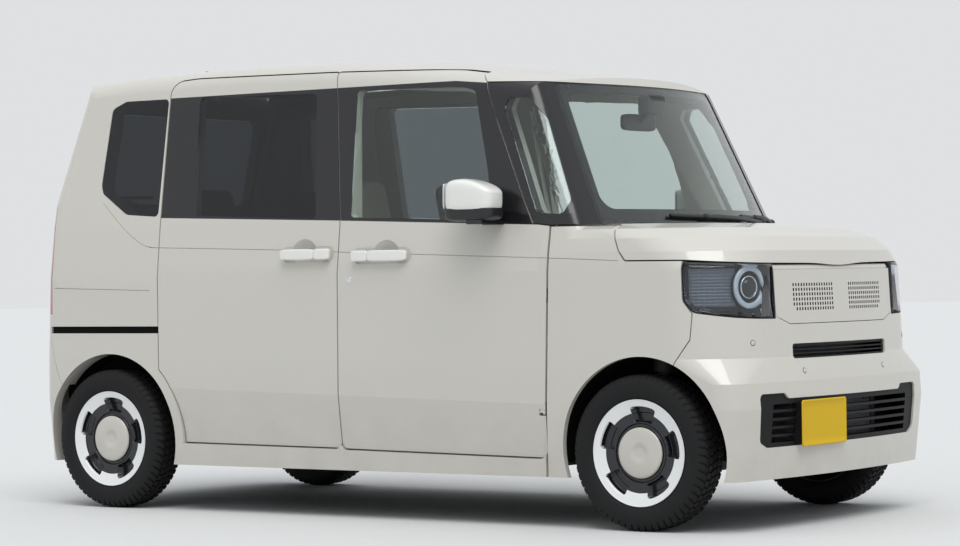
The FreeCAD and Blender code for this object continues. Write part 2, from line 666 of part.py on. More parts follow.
# A bracket ties the fender's rear edge to the pillar behind it, deeper than the door's front edge swings.
fender = fused([
    fender, box(pillar_front_x + fender_gap, pillar_front_x + 30, 15 - half_width, wall_depth - 6 - half_width, 640, 700),
    box(pillar_front_x, pillar_front_x + fender_gap + 1, 52 - half_width, wall_depth - 6 - half_width, 640, 700)])
lamp_room = side_prism(lamp_outline, 2.5, -1000, -440)
front_bumper = cut_by(thin_shell.common(box(nose_x - 407.5, nose_x + 62.5, -1000, 1000, 170, 922)), [
    side_prism(fender_outline, 4, -1000, 1000), side_prism(hood_outline, 4, -1000, 1000), lamp_room,
    mirrored(lamp_room), nose_prism(grille_outline, 2.5), arch_cylinder(front_axle_x, arch_radius, -1000, 1000),
    nose_prism(slot_outline), nose_prism(mouth_outline)])
save("fender_right", fender)
save("fender_left", mirrored(fender))
save("front_bumper", front_bumper)
save("grille_panel", thin_shell.common(nose_prism(grille_outline)))
save("headlamps", *both_sides(door_shell.common(side_prism(lamp_outline, 0, -1000, -442))))

# Black inserts of the lower grille and the upper slot, with bars across and the number plate's holder
bar_layer = glass_back_form.cut(door_back_form)
mouth_insert = bar_layer.common(nose_prism(mouth_outline))
for z in (312, 341, 370, 399, 428):
    mouth_insert = mouth_insert.cut(box(1500, 1800, -505, 505, z, z + 19))
slot_insert = bar_layer.common(nose_prism(slot_outline))
for z in (610, 624, 638):
    slot_insert = slot_insert.cut(box(1500, 1800, -335, 335, z, z + 9))
plate_y = -200.0
plate_z = 374.0
plate_hole_pitch = 210.0
plate_hole_z = plate_z + 60
plate_holder = box(1660, 1696, plate_y - 160, plate_y + 160, 302, 448)
for dy in (-plate_hole_pitch / 2, plate_hole_pitch / 2):
    hole = cylinder(3.2, V(1650, plate_y + dy, plate_hole_z), V(1700, plate_y + dy, plate_hole_z))
    plate_holder = plate_holder.cut(hole)
    mouth_insert = mouth_insert.cut(hole)
save("lower_grille", mouth_insert.fuse(plate_holder), slot_insert)

# Wheels and tyres: one profile each, turned about the axle. Columns: distance from the wheel's middle, radius
tyre_profile = [
    (-58, rim_radius + 1), (-58, rim_lip_radius + 2), (-74, rim_lip_radius + 12), (-77.5, 232), (-70, 260),
    (-50, tyre_radius), (50, tyre_radius), (70, 260), (77.5, 232), (74, rim_lip_radius + 12),
    (58, rim_lip_radius + 2), (58, rim_radius + 1)]
# The wheel's outer side is +: barrel, lips, and a disc whose hub face lies hub_face_offset from the middle
hub_face_offset = 42.0
hub_bore_radius = 30.0
cap_radius = 91.0
wheel_profile = [
    (-66, rim_radius - 8), (-66, rim_lip_radius), (-58, rim_lip_radius), (-58, rim_radius), (58, rim_radius),
    (58, rim_lip_radius), (68, rim_lip_radius), (68, rim_lip_radius - 8), (52, 143), (46, 108), (60, cap_radius), (64, 60),
    (64, 0), (52, 0), (52, hub_bore_radius), (hub_face_offset, hub_bore_radius), (hub_face_offset, 80), (38, 108),
    (38, 160), (-58, rim_radius - 8)]
window_count = 5
window_inner_radius = 116.0
window_outer_radius = 158.0
window_half_angle = 22.0


def turned(profile, middle_y, side):
    # A profile turned about the line along Y; side is -1 where its outer face looks to the right.
    points = [V(0, middle_y + side * a, r) for a, r in profile]
    face = Part.Face(Part.makePolygon(points + points[:1]))
    return face.revolve(V(0, 0, 0), V(0, 1, 0), 360)


def window_ring(middle_y, side):
    cutters = []
    for i in range(window_count):
        turn = 90 + i * 360 / window_count
        cutter = Part.makeCylinder(window_outer_radius, 60, V(0, 0, 0), V(0, side, 0), 2 * window_half_angle)
        inner = Part.makeCylinder(window_inner_radius, 80, V(0, -side * 10, 0), V(0, side, 0))
        cutter = cutter.cut(inner)
        cutter.rotate(V(0, 0, 0), V(0, 1, 0), turn)
        cutter.translate(V(0, middle_y + side * 20, 0))
        cutters.append(cutter)
    return cutters


axles = [("front", front_axle_x), ("rear", rear_axle_x)]
for axle, axle_x in axles:
    for side, sign in sides:
        tyre = turned(tyre_profile, sign * track / 2, sign)
        wheel = turned(wheel_profile, sign * track / 2, sign)
        for cutter in window_ring(sign * track / 2, sign):
            wheel = wheel.cut(cutter)
        for name, shape in (("tyre", tyre), ("wheel", wheel)):
            shape.translate(V(axle_x, 0, tyre_radius))
            save(name + "_" + axle + "_" + side, shape)

# Wheelhouse liners: curved sheets closed by a wall on the inboard side
rear_liner_inner_y = 545.0


def liner(axle_x, inner_y, outer_y):
    centre_x = axle_x + liner_shift
    outer_drum = cylinder(liner_radius + liner_thick, V(centre_x, -outer_y, arch_height), V(centre_x, -inner_y, arch_height))
    inner_drum = cylinder(liner_radius, V(centre_x, -outer_y - 1, arch_height),
                          V(centre_x, -inner_y - liner_thick, arch_height))
    keep = box(centre_x - 400, centre_x + 400, -outer_y - 1, 0, 236, 700)
    return outer_drum.cut(inner_drum).common(keep)


# Steering axis through the lower ball joint and the strut's top
ball_joint = V(front_axle_x, -585, 186)
strut_top = V(front_axle_x, -500, 782)
strut_foot = V(front_axle_x, -564, 330)
strut_radius = 24.0
spring_radius = 43.0
tower_hole = 75.0

front_liner = liner(front_axle_x, liner_inner_y, half_width).common(thin_form)
front_liner = front_liner.cut(cylinder(tower_hole, V(front_axle_x, -515, 560), V(front_axle_x, -500, 700)))
front_liner = front_liner.cut(box(front_axle_x - 70, front_axle_x + 70, -500, -300, 100, 300))
rear_liner = liner(rear_axle_x, rear_liner_inner_y, half_width).common(cavity_form)
rear_liner = rear_liner.cut(box(rear_axle_x - 60, rear_axle_x + 60, -600, -500, 100, 360))
save("arch_liners", *both_sides(front_liner), *both_sides(rear_liner))

# Steering knuckles with hub, brake disc, caliper and strut
hub_face_y = track / 2 + hub_face_offset
disc_radius = 118.0
disc_y = track / 2 - 34
upright = fused([
    Part.makeCylinder(62, 46, V(front_axle_x, -disc_y + 14, tyre_radius), V(0, 1, 0)),
    box(front_axle_x - 32, front_axle_x + 32, -disc_y + 14, -disc_y + 44, 192, 400),
    box(front_axle_x - 26, front_axle_x + 26, -disc_y + 20, -545, 340, 410),
])
hub = fused([
    Part.makeCylinder(hub_radius, hub_face_y - disc_y - 0.4, V(front_axle_x, -disc_y, tyre_radius), V(0, -1, 0)),
    Part.makeCylinder(hub_bore_radius - 0.3, 8, V(front_axle_x, -hub_face_y + 0.4, tyre_radius), V(0, -1, 0)),
    Part.makeCylinder(disc_radius, 14, V(front_axle_x, -disc_y, tyre_radius), V(0, 1, 0)),
])
caliper = box(front_axle_x - 142, front_axle_x - 84, -disc_y - 26, -disc_y + 50, 225, 335)
caliper = caliper.cut(Part.makeCylinder(disc_radius + 4, 22, V(front_axle_x, -disc_y - 4, tyre_radius), V(0, 1, 0)))
bridge = box(front_axle_x - 100, front_axle_x - 20, -disc_y + 20, -disc_y + 44, 250, 310)
strut = cylinder(strut_radius, strut_foot, strut_top - (strut_top - strut_foot).normalize() * 40)
spring_low = strut_foot + (strut_top - strut_foot) * 0.5
spring_high = strut_foot + (strut_top - strut_foot) * 0.9
spring = cylinder(spring_radius, spring_low, spring_high)
rod = cylinder(9, strut_foot, strut_top - (strut_top - strut_foot).normalize() * 0.6)
knuckle = fused([upright, hub, caliper, bridge, strut, spring, rod])
save("knuckle_right", knuckle)
save("knuckle_left", mirrored(knuckle))

# Floor pan: a low floor with raised channels, a step up to the load floor, and a toe board at the front
floor_z = 318.0
floor_thick = 18.0
load_floor_z = 452.0
floor_step_x = -880.0
toe_x = 800.0
floor_rear_x = tail_x + wall_depth + 4
floor_side = [
    (floor_rear_x, load_floor_z, 0), (floor_step_x - 60, load_floor_z, 40), (floor_step_x, floor_z, 40),
    (toe_x, floor_z, 120), (dash_wall_x, floor_z + 250, 60), (dash_wall_x, cowl_z, 0),
    (dash_wall_x + floor_thick, cowl_z, 0), (dash_wall_x + floor_thick, floor_z + 240, 60),
    (toe_x + 8, floor_z - floor_thick, 120), (floor_step_x - 8, floor_z - floor_thick, 40),
    (floor_step_x - 68, load_floor_z - floor_thick, 40), (floor_rear_x, load_floor_z - floor_thick, 0)]
floor_pan = prism(floor_side, side_view, -half_width, half_width).common(cavity_form)
floor_pan = floor_pan.cut(box(dash_wall_x - 300, 1200, -1000, -610, 560, 1100))
floor_pan = floor_pan.cut(box(dash_wall_x - 300, 1200, 610, 1000, 560, 1100))
floor_pan = cut_by(floor_pan, wheelhouse(rear_axle_x, rear_liner_inner_y) + wheelhouse(front_axle_x, liner_inner_y))
tail_sill = ring_front_form.cut(cavity_form).common(box(tail_x - 50, -1400, -545, 545, 400, 530))
tail_beam = door_back_form.common(box(tail_x - 50, floor_rear_x + 10, -520, 520, 390, load_floor_z))
channels = [box(-700, toe_x - 60, y - 35, y + 35, floor_z - floor_thick - 30, floor_z - floor_thick)
            for y in (-470, 470)]
floor_pan = fused([floor_pan, tail_sill, tail_beam] + channels)
save("floor_pan", floor_pan)

# Front structure: rails, cross members, strut towers, radiator and its frame
rail_y = 350.0
rail_half = 34.0
rail_front_x = nose_x - 112.5
front_structure = [box(dash_wall_x + floor_thick, rail_front_x, y - rail_half, y + rail_half, 430, 520)
                   for y in (-rail_y, rail_y)]
frame_x = nose_x - 137.5
frame_bars = [box(frame_x, rail_front_x, -400, 400, 205, 245), box(frame_x, rail_front_x, -640, 640, 850, 885)]
frame_bars += [box(frame_x, rail_front_x, y - 15, y + 15, 205, 885) for y in (-385, 385)]
frame_bars += [box(frame_x, nose_x, y - 15, y + 15, 855, 880) for y in (-250, 250)]
frame_bars.append(box(rail_front_x - 1, nose_x, -520, 520, 506, 560))
front_structure += [bar.common(thin_form) for bar in frame_bars[2:]] + [frame_bars[0], frame_bars[1].common(door_back_form)]
tower_half = 78.0
for sign in (-1, 1):
    tower_y = sign * 500
    tower = box(front_axle_x - tower_half, front_axle_x + tower_half, tower_y - tower_half, tower_y + tower_half, 560, 800)
    tower = tower.cut(box(front_axle_x - tower_half + 8, front_axle_x + tower_half - 8, tower_y - tower_half + 8,
                          tower_y + tower_half - 8, 590, 792))
    tower = tower.cut(cylinder(12, V(front_axle_x, tower_y, 780), V(front_axle_x, tower_y, 810)))
    brace = box(dash_wall_x + floor_thick, front_axle_x - tower_half, tower_y - 40, tower_y + 40, 720, 800)
    leg = box(front_axle_x - tower_half, front_axle_x + tower_half, sign * 384 - 8, sign * 384 + 8, 430, 640)
    front_structure += [cut_by(tower, wheelhouse(front_axle_x, 0)), brace, leg]
save("front_structure", fused(front_structure))

# Front subframe, lower arms and steering rack
subframe = [box(front_axle_x - 150, front_axle_x + 60, -330, 330, 190, 226)]
for sign in (-1, 1):
    arm = Part.Face(Part.makePolygon([
        V(front_axle_x - 130, sign * 322, 160), V(front_axle_x - 20, sign * 575, 160),
        V(front_axle_x + 20, sign * 575, 160), V(front_axle_x + 50, sign * 322, 160),
        V(front_axle_x - 130, sign * 322, 160)])).extrude(V(0, 0, 22))
    stud = Part.makeCylinder(8, 29, V(front_axle_x, sign * 585, 160))
    pad = Part.makeCylinder(18, 22, V(front_axle_x, sign * 582, 160))
    subframe += [arm, pad, stud]
    subframe.append(box(front_axle_x - 150, front_axle_x - 90, sign * 330 - 20, sign * 330 + 20, 226, 429.7))
save("front_suspension", fused(subframe))

# Engine with its gearbox, one block, hung between the rails
engine_front_x = nose_x - 197.5
engine = box(engine_front_x - 390, engine_front_x, -250, 270, 270, 800)
engine_mounts = [box(1250, 1340, 270, rail_y - rail_half - 0.3, 450, 500), box(1250, 1340, -rail_y + rail_half + 0.3, -250, 450, 500)]
radiator = box(frame_x + 2, rail_front_x - 4, -370, 370, 245, 850).cut(fused(front_structure))
save("engine_block", fused([engine] + [m.fuse(box(1250, 1340, -260, 280, 450, 500)) for m in engine_mounts]))
save("radiator", radiator)

# Fuel tank under the front seats
tank_outer = box(-40, 560, -360, 360, 178, floor_z - floor_thick - 0.3)
tank = tank_outer.makeFillet(38, [e for e in tank_outer.Edges if e.BoundBox.ZMax < 200 or e.BoundBox.ZLength > 50])
save("fuel_tank", tank)

# Exhaust: front pipe, silencer and tail pipe
def tube_path(points, radius, bends):
    edges = []
    previous = points[0]
    for i in range(1, len(points) - 1):
        here, ahead, back = points[i], (points[i + 1] - points[i]).normalize(), (points[i - 1] - points[i]).normalize()
        half_turn = back.getAngle(ahead) / 2
        reach = bends / tan(half_turn)
        start, end = here + back * reach, here + ahead * reach
        middle = here + (back + ahead).normalize() * (bends / sin(half_turn) - bends)
        edges.append(Part.LineSegment(previous, start).toShape())
        edges.append(Part.Arc(start, middle, end).toShape())
        previous = end
    edges.append(Part.LineSegment(previous, points[-1]).toShape())
    path = Part.Wire(edges)
    direction = points[1] - points[0]
    circle = Part.Wire(Part.makeCircle(radius, points[0], direction))
    return path.makePipeShell([circle], True, False)


pipe = tube_path([V(engine_front_x - 390, 120, 300), V(980, 120, 300), V(900, 400, 225), V(-1180, 400, 225),
                  V(-1420, 330, 300)], 22, 60)
silencer = box(-1580, -1385, 170, 500, 250, 390)
silencer = silencer.makeFillet(50, [e for e in silencer.Edges if e.BoundBox.XLength > 100])
tail_pipe = cylinder(17, V(-1565, 440, 290), V(-1616, 440, 284))
hanger = box(-1480, -1455, 300, 340, 380, load_floor_z - floor_thick)
save("exhaust", fused([pipe, silencer, tail_pipe, hanger]))

# Rear axle: twist beam, trailing arms, drums, spindles, springs and dampers
beam_x = -1075.0
arm_y = 505.0
beam = [box(beam_x - 45, beam_x + 45, -arm_y, arm_y, 262, 318).cut(box(beam_x - 35, beam_x + 35, -arm_y, arm_y, 252, 308))]
for sign in (-1, 1):
    arm = cylinder(26, V(-800, sign * (arm_y - 20), 268), V(rear_axle_x, sign * arm_y, 268))
    bush = Part.makeCylinder(31, 70, V(-800, sign * (arm_y - 20) - 35, 268), V(0, 1, 0))
    plate = box(rear_axle_x - 60, rear_axle_x + 60, sign * arm_y - 10, sign * arm_y + 10, 215, 345)
    drum = Part.makeCylinder(112, 64, V(rear_axle_x, sign * 614, tyre_radius), V(0, sign, 0))
    spindle = Part.makeCylinder(28, 110, V(rear_axle_x, sign * (arm_y + 5), tyre_radius), V(0, sign, 0))
    hub_end = Part.makeCylinder(hub_radius, hub_face_y - 678.4, V(rear_axle_x, sign * 678, tyre_radius), V(0, sign, 0))
    spigot = Part.makeCylinder(hub_bore_radius - 0.3, 8, V(rear_axle_x, sign * (hub_face_y - 0.4), tyre_radius), V(0, sign, 0))
    seat = Part.makeCylinder(50, 12, V(-1175, sign * 420, 306), UP)
    spring = Part.makeCylinder(43, load_floor_z - floor_thick - 318, V(-1175, sign * 420, 318), UP)
    damper = cylinder(22, V(rear_axle_x - 20, sign * (arm_y - 22), 270), V(rear_axle_x - 60, sign * 470, load_floor_z - 34))
    seat_arm = box(-1210, -1075, sign * 420 - 40, sign * 420 + 40, 285, 310)
    beam += [arm, bush, plate, drum, spindle, hub_end, spigot, seat, spring, damper, seat_arm]
    beam.append(box(-830, -770, sign * (arm_y - 20) - 30, sign * (arm_y - 20) + 30, 268, floor_z - floor_thick))
save("rear_axle", fused(beam))

# Dashboard with its hood over the instruments, and the steering column
dash_side = [
    (dash_wall_x - 0.3, 1046, 0), (900, 1068, 80), (700, 1010, 40), (684, 880, 40), (760, 800, 60), (800, 620, 40),
    (dash_wall_x - 0.3, 600, 0)]
dashboard = prism(dash_side, side_view, -600, 600)
driver_y = -330.0
binnacle = prism([(900, 1060, 0), (800, 1120, 30), (690, 1092, 20), (700, 1000, 0)], side_view, driver_y - 170, driver_y + 170)
dashboard = dashboard.fuse(binnacle)
column_low = V(760, driver_y, 850)
wheel_centre = V(545, driver_y, 965)
column_axis = (wheel_centre - column_low).normalize()
column = cylinder(34, column_low, wheel_centre - column_axis * 60)
dashboard = fused([dashboard, column]).cut(cylinder(10.3, wheel_centre - column_axis * 100, wheel_centre))
save("dashboard", dashboard)
rim_section = [V(178 + 14 * cos(radians(a)), 0, 14 * sin(radians(a))) for a in range(0, 361, 45)]
steering_rim = Part.Face(Part.makePolygon(rim_section)).revolve(V(0, 0, 0), UP, 360)
steering_rim.Placement = FreeCAD.Placement(wheel_centre, FreeCAD.Rotation(UP, column_axis))
steering_hub = cylinder(42, wheel_centre - column_axis * 50, wheel_centre - column_axis * 4)
steering_shaft = cylinder(10, wheel_centre - column_axis * 98, wheel_centre - column_axis * 20)
spokes = []
for angle in (0, 180, 270):
    spoke = Part.makeBox(150, 30, 12, V(30, -15, -18))
    spoke.rotate(V(0, 0, 0), UP, angle)
    spoke.Placement = FreeCAD.Placement(wheel_centre, FreeCAD.Rotation(V(0, 1, 0), V(0, 0, 1), column_axis, "ZYX")) * spoke.Placement
    spokes.append(spoke)
save("steering_wheel", fused([steering_rim, steering_hub, steering_shaft] + spokes))

# Seats: cushions, backrests and headrests, on black bases
seat_lean = 12.0
cushion_thick = 130.0
back_thick = 120.0
back_height = 610.0
headrest_gap = 40.0
seat_rows = [("front_seats", -60.0, 610.0, 250.0), ("rear_seats", -850.0, 600.0, 230.0)]


def leaned(shape, rear_x, foot_z):
    # From upright at the origin to leaning back from the cushion's rear edge.
    shape.rotate(V(0, 0, 0), V(0, 1, 0), -seat_lean)
    shape.translate(V(rear_x, 0, foot_z))
    return shape


def padded_block(x0, x1, y, half, z0, z1, radius):
    corners = [(x0, z0, radius), (x1, z0, radius), (x1, z1, radius), (x0, z1, radius)]
    return prism(corners, side_view, y - half, y + half)


seat_bases = []
for name, rear_x, cushion_top, half in seat_rows:
    foot_z = cushion_top - cushion_thick
    solids = []
    for y in (-330.0, 330.0):
        solids.append(padded_block(rear_x + 30, rear_x + 500, y, half, foot_z, cushion_top, 45))
        solids.append(leaned(padded_block(-back_thick, 0, y, half, 0, back_height, 45), rear_x, foot_z))
        head_z = back_height + headrest_gap
        solids.append(leaned(padded_block(-110, -10, y, 125, head_z, head_z + 190, 35), rear_x, foot_z))
        seat_bases.append(box(rear_x + 75, rear_x + 440, y - half + 50, y + half - 50, floor_z, foot_z))
        for dy in (-70, 70):
            post = cylinder(6, V(-back_thick / 2, y + dy, back_height), V(-back_thick / 2, y + dy, head_z))
            seat_bases.append(leaned(post, rear_x, foot_z))
        hinge_plates = [box(rear_x - 40, rear_x + 80, y + dy - 4, y + dy + 4, foot_z - 40, foot_z + 50) for dy in (-half - 4, half + 4)]
        seat_bases += hinge_plates
    save(name, *solids)
save("seat_bases", *seat_bases)

# Roof antenna
antenna_x = tail_x + 367.5
antenna_foot = softened_box(antenna_x - 45, antenna_x + 45, -22, 22, 1760, 1801, 9).cut(outer_form)
save("roof_antenna", antenna_foot)
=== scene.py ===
"""Dresses a small tall five-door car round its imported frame: paint, glass, tyres, wheels, lamps, trim, cabin.

Lengths are metres. +X is forward, +Y the car's left, +Z up; the origin is on the ground below its middle.
"""

import bmesh
import bpy
import numpy as np
from mathutils import Matrix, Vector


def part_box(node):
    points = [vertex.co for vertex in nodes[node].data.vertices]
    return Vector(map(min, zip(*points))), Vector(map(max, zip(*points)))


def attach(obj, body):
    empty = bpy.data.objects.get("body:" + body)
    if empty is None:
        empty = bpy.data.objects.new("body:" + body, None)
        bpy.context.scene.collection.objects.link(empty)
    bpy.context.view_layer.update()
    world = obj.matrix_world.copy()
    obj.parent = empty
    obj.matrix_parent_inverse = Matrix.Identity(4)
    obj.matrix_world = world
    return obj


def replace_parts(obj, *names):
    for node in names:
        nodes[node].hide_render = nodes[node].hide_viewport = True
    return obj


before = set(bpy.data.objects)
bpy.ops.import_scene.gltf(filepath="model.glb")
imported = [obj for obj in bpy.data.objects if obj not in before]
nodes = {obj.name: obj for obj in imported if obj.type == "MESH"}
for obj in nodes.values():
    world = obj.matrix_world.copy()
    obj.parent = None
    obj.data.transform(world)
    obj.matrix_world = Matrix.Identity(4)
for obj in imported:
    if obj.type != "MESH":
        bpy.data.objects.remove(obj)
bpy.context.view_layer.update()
sides = (("right", -1), ("left", 1))

# Painted panels: pressed steel doors, roof, hood and sides with moulded bumpers, sprayed in one pale sand
# colour under a clear coat. The coat has a faint orange peel, and road dust dulls it along the sills.
paint_colour = (0.585, 0.560, 0.505)
dust_colour = (0.36, 0.32, 0.26)
dust_level, clean_level, dust_share = 0.20, 0.62, 0.30


def plug(tree, node, plugs):
    """Sets a node's sockets, each to a plain value or to another node's output."""
    for socket, value in plugs.items():
        if isinstance(value, bpy.types.NodeSocket):
            tree.links.new(value, node.inputs[socket])
        else:
            node.inputs[socket].default_value = value


def shade(tree, kind, plugs, out=0, **settings):
    """A new shader node of that kind, with its settings and sockets: returns one of its outputs."""
    node = tree.nodes.new("ShaderNode" + kind)
    for setting, value in settings.items():
        setattr(node, setting, value)
    plug(tree, node, plugs)
    return node.outputs[out]


def finish(name, colour, roughness, **sockets):
    """A named material with plain values on its shader's sockets: returns it, its tree and the shader."""
    material = bpy.data.materials.new(name)
    material.use_nodes = True
    tree = material.node_tree
    shader = tree.nodes["Principled BSDF"]
    plug(tree, shader, {"Base Color": (*colour, 1.0), "Roughness": roughness})
    plug(tree, shader, {socket.replace("_", " "): value for socket, value in sockets.items()})
    return material, tree, shader


def noise(tree, scale, detail=3.0, stretch=(1, 1, 1)):
    """Fractal noise on the piece's own coordinates, scale in waves per metre, stretched along the axes."""
    place = shade(tree, "TexCoord", {}, "Object")
    turned = shade(tree, "Mapping", {"Vector": place, "Scale": stretch})
    return shade(tree, "TexNoise", {"Vector": turned, "Scale": scale, "Detail": detail}, "Fac")


def spread(tree, value, low, high, start=0.3, end=0.7):
    """The value from start to end mapped to low to high, held at both ends."""
    plugs = {"Value": value, "From Min": start, "From Max": end, "To Min": low, "To Max": high}
    return shade(tree, "MapRange", plugs, "Result")


def blend_colour(tree, share, colour_a, colour_b):
    """Colour a where share is 0 and colour b where it is 1; either may be a socket."""
    first, second = ((*c, 1.0) if isinstance(c, tuple) else c for c in (colour_a, colour_b))
    return shade(tree, "Mix", {0: share, 6: first, 7: second}, 2, data_type="RGBA")


def grained(name, colour, roughness, scale, height, tone=0.06, rough=0.06, stretch=(1, 1, 1), **sockets):
    """A grained finish: noise raises a bump of that height, and shifts tone and roughness by those shares."""
    material, tree, shader = finish(name, colour, roughness, **sockets)
    wave = noise(tree, scale, stretch=stretch)
    base = tuple(shader.inputs["Base Color"].default_value)[:3]
    middle = shader.inputs["Roughness"].default_value
    low, high = (tuple(c * k for c in base) for k in (1 - tone, 1 + tone))
    plug(tree, shader, {"Base Color": blend_colour(tree, spread(tree, wave, 0.0, 1.0), low, high),
                        "Roughness": spread(tree, wave, max(middle - rough, 0.0), middle + rough),
                        "Normal": shade(tree, "Bump", {"Distance": height, "Height": wave})})
    return material


def along(tree, axis, start, end):
    """0 where the piece's own coordinate on that axis is below the start, rising to 1 at the end."""
    place = shade(tree, "TexCoord", {}, "Object")
    return spread(tree, shade(tree, "SeparateXYZ", {"Vector": place}, axis), 0.0, 1.0, start, end)


def car_paint(name, colour):
    """Solid paint under a clear coat: fine grain in the colour, and dust that thins out above the sills."""
    material, tree, shader = finish(name, colour, 0.42, Coat_Weight=1.0, Coat_Roughness=0.035, Coat_IOR=1.5)
    grain = spread(tree, noise(tree, 900.0, 2.0), 0.0, 1.0)
    clean = blend_colour(tree, grain, tuple(c * 0.97 for c in colour), tuple(c * 1.03 for c in colour))
    fade = along(tree, "Z", dust_level, clean_level)
    patches = spread(tree, noise(tree, 9.0, 6.0), 0.25, 1.0)
    dust = shade(tree, "Math", {0: fade, 1: -dust_share, 2: dust_share}, operation="MULTIPLY_ADD")
    share = shade(tree, "Math", {0: dust, 1: patches}, operation="MULTIPLY")
    peel = shade(tree, "Bump", {"Distance": 0.00004, "Height": noise(tree, 260.0, 1.0)})
    plug(tree, shader, {"Base Color": blend_colour(tree, share, clean, dust_colour), "Coat Normal": peel})
    return material


def wear(material, *names):
    """Those frame nodes take this material."""
    for name in names:
        nodes[name].data.materials.clear()
        nodes[name].data.materials.append(material)


def both(*names):
    """The right and left node of each name."""
    return [f"{name}_{side}" for name in names for side, _ in sides]


body_paint = car_paint("body_paint", paint_colour)
wear(body_paint, "roof_panel", "tailgate", "rear_bumper", "hood", "front_bumper", "grille_panel",
     *both("front_door", "sliding_door", "body_side", "fender"))

# Cabin lining: the inner faces of doors, sides, roof and tailgate are covered in pale moulded plastic and
# felt. It is the same panels' inboard skin, so only those faces take it.
lining = grained("cabin_lining", (0.33, 0.315, 0.285), 0.75, 700.0, 0.00015)
faces_inward = 0.35


def per_face(mesh, kind):
    """The normals or centres of a mesh's faces, a row each."""
    values = np.empty(len(mesh.polygons) * 3)
    mesh.polygons.foreach_get(kind, values)
    return values.reshape(-1, 3)


def line_inside(name, facing):
    """Gives a node's faces that look along the facing direction the lining as their second material."""
    mesh = nodes[name].data
    mesh.materials.append(lining)
    inward = per_face(mesh, "normal") @ np.array(facing) > faces_inward
    mesh.polygons.foreach_set("material_index", inward.astype(np.int32))


for side, sign in sides:
    for name in ("front_door", "sliding_door", "body_side"):
        line_inside(name + "_" + side, (0, -sign, 0))
line_inside("roof_panel", (0, 0, -1))
line_inside("tailgate", (1, 0, 0))

# Glass: laminated windscreen and tempered front windows, pale green, with privacy glass behind the middle
# pillar. Light shines through it, as a pane this thin casts hardly a shadow.
clear_tint = (0.74, 0.81, 0.79)
privacy_tint = (0.13, 0.145, 0.16)


def pane(name, tint, rear_tint=None):
    """Refracting glass that passes shadow rays; rear_tint colours what lies behind the middle pillar."""
    material, tree, shader = finish(name, tint, 0.0, Transmission_Weight=1.0, IOR=1.45)
    colour = (*tint, 1.0)
    if rear_tint:
        colour = blend_colour(tree, along(tree, "X", 0.0, 0.01), rear_tint, tint)
    plug(tree, shader, {"Base Color": colour})
    passing = shade(tree, "BsdfTransparent", {"Color": colour})
    in_shadow = shade(tree, "LightPath", {}, "Is Shadow Ray")
    mixed = shade(tree, "MixShader", {"Fac": in_shadow, 1: shader.outputs["BSDF"], 2: passing})
    plug(tree, tree.nodes["Material Output"], {"Surface": mixed})
    return material


wear(pane("clear_glass", clear_tint), "windscreen", *both("front_door_glass"))
wear(pane("privacy_glass", privacy_tint), "sliding_door_glass", "tailgate_glass")
wear(pane("side_glass", clear_tint, privacy_tint), "side_glass")

# Black trim: smooth covers on the pillars and round the windows, grained plastic on grilles and cowl, and
# rough felt in the wheel arches. Handles and mirrors are moulded in white.
gloss_black = grained("gloss_black", (0.010, 0.010, 0.012), 0.2, 600.0, 0.00001, 0.1, 0.03, Coat_Weight=0.25)
grained_black = grained("grained_black", (0.008, 0.008, 0.009), 0.5, 1500.0, 0.0002, 0.15, 0.08,
                        Specular_IOR_Level=0.18)
arch_felt = grained("arch_felt", (0.007, 0.007, 0.007), 0.9, 1200.0, 0.0006, 0.3, 0.05,
                    Specular_IOR_Level=0.1)
trim_white = grained("trim_white", (0.80, 0.79, 0.75), 0.3, 700.0, 0.00001, 0.02, 0.03, Coat_Weight=0.8)
wear(gloss_black, "pillar_covers", "corner_frames", "roof_antenna", *both("front_door_trim"))
wear(grained_black, "lower_grille", "cowl")
wear(arch_felt, "arch_liners")
wear(trim_white, "sliding_door_handles", *both("mirror_and_handle"))

# Under the body: sealed floor, steel axles, cast engine, alloy radiator and stainless exhaust, bolted and
# hung below the cabin. Each has the grain of how it is made: sprayed, cast, finned or drawn.
wear(grained("underbody", (0.05, 0.05, 0.048), 0.8, 350.0, 0.0008, 0.25, 0.1), "floor_pan", "fuel_tank")
wear(grained("chassis_steel", (0.03, 0.03, 0.032), 0.55, 260.0, 0.0004, 0.3, 0.12, Metallic=0.3),
     "front_structure", "front_suspension", "rear_axle", *both("knuckle"))
wear(grained("cast_alloy", (0.35, 0.35, 0.36), 0.5, 220.0, 0.0008, 0.2, 0.15, Metallic=0.9), "engine_block")
wear(grained("radiator_alloy", (0.10, 0.10, 0.105), 0.45, 900.0, 0.0006, 0.3, 0.1, stretch=(1.0, 0.02, 1.0),
             Metallic=0.8), "radiator")
wear(grained("exhaust_steel", (0.42, 0.38, 0.34), 0.4, 120.0, 0.0003, 0.35, 0.15, Metallic=1.0), "exhaust")

# Cabin: dashboard, steering wheel and seat bases in soft moulded plastic with a leather grain, and the plain
# seat forms in the same cloth as the pads that stand for them
seat_cloth = grained("seat_cloth", (0.27, 0.25, 0.215), 0.9, 1800.0, 0.0004, 0.2, 0.06, Sheen_Weight=0.4)
wear(grained("cabin_plastic", (0.10, 0.095, 0.088), 0.62, 900.0, 0.00025, 0.12, 0.08),
     "dashboard", "steering_wheel", "seat_bases")
wear(seat_cloth, "front_seats", "rear_seats")

# Tail lamps: red moulded lenses, one clipped into each rear corner, with fine level flutes that scatter the
# light behind them
lamp_red = grained("lamp_red", (0.35, 0.008, 0.010), 0.08, 60.0, 0.0002, 0.25, 0.04, stretch=(1.0, 1.0, 6.0),
                   Coat_Weight=1.0)
wear(lamp_red, "tail_lamps")

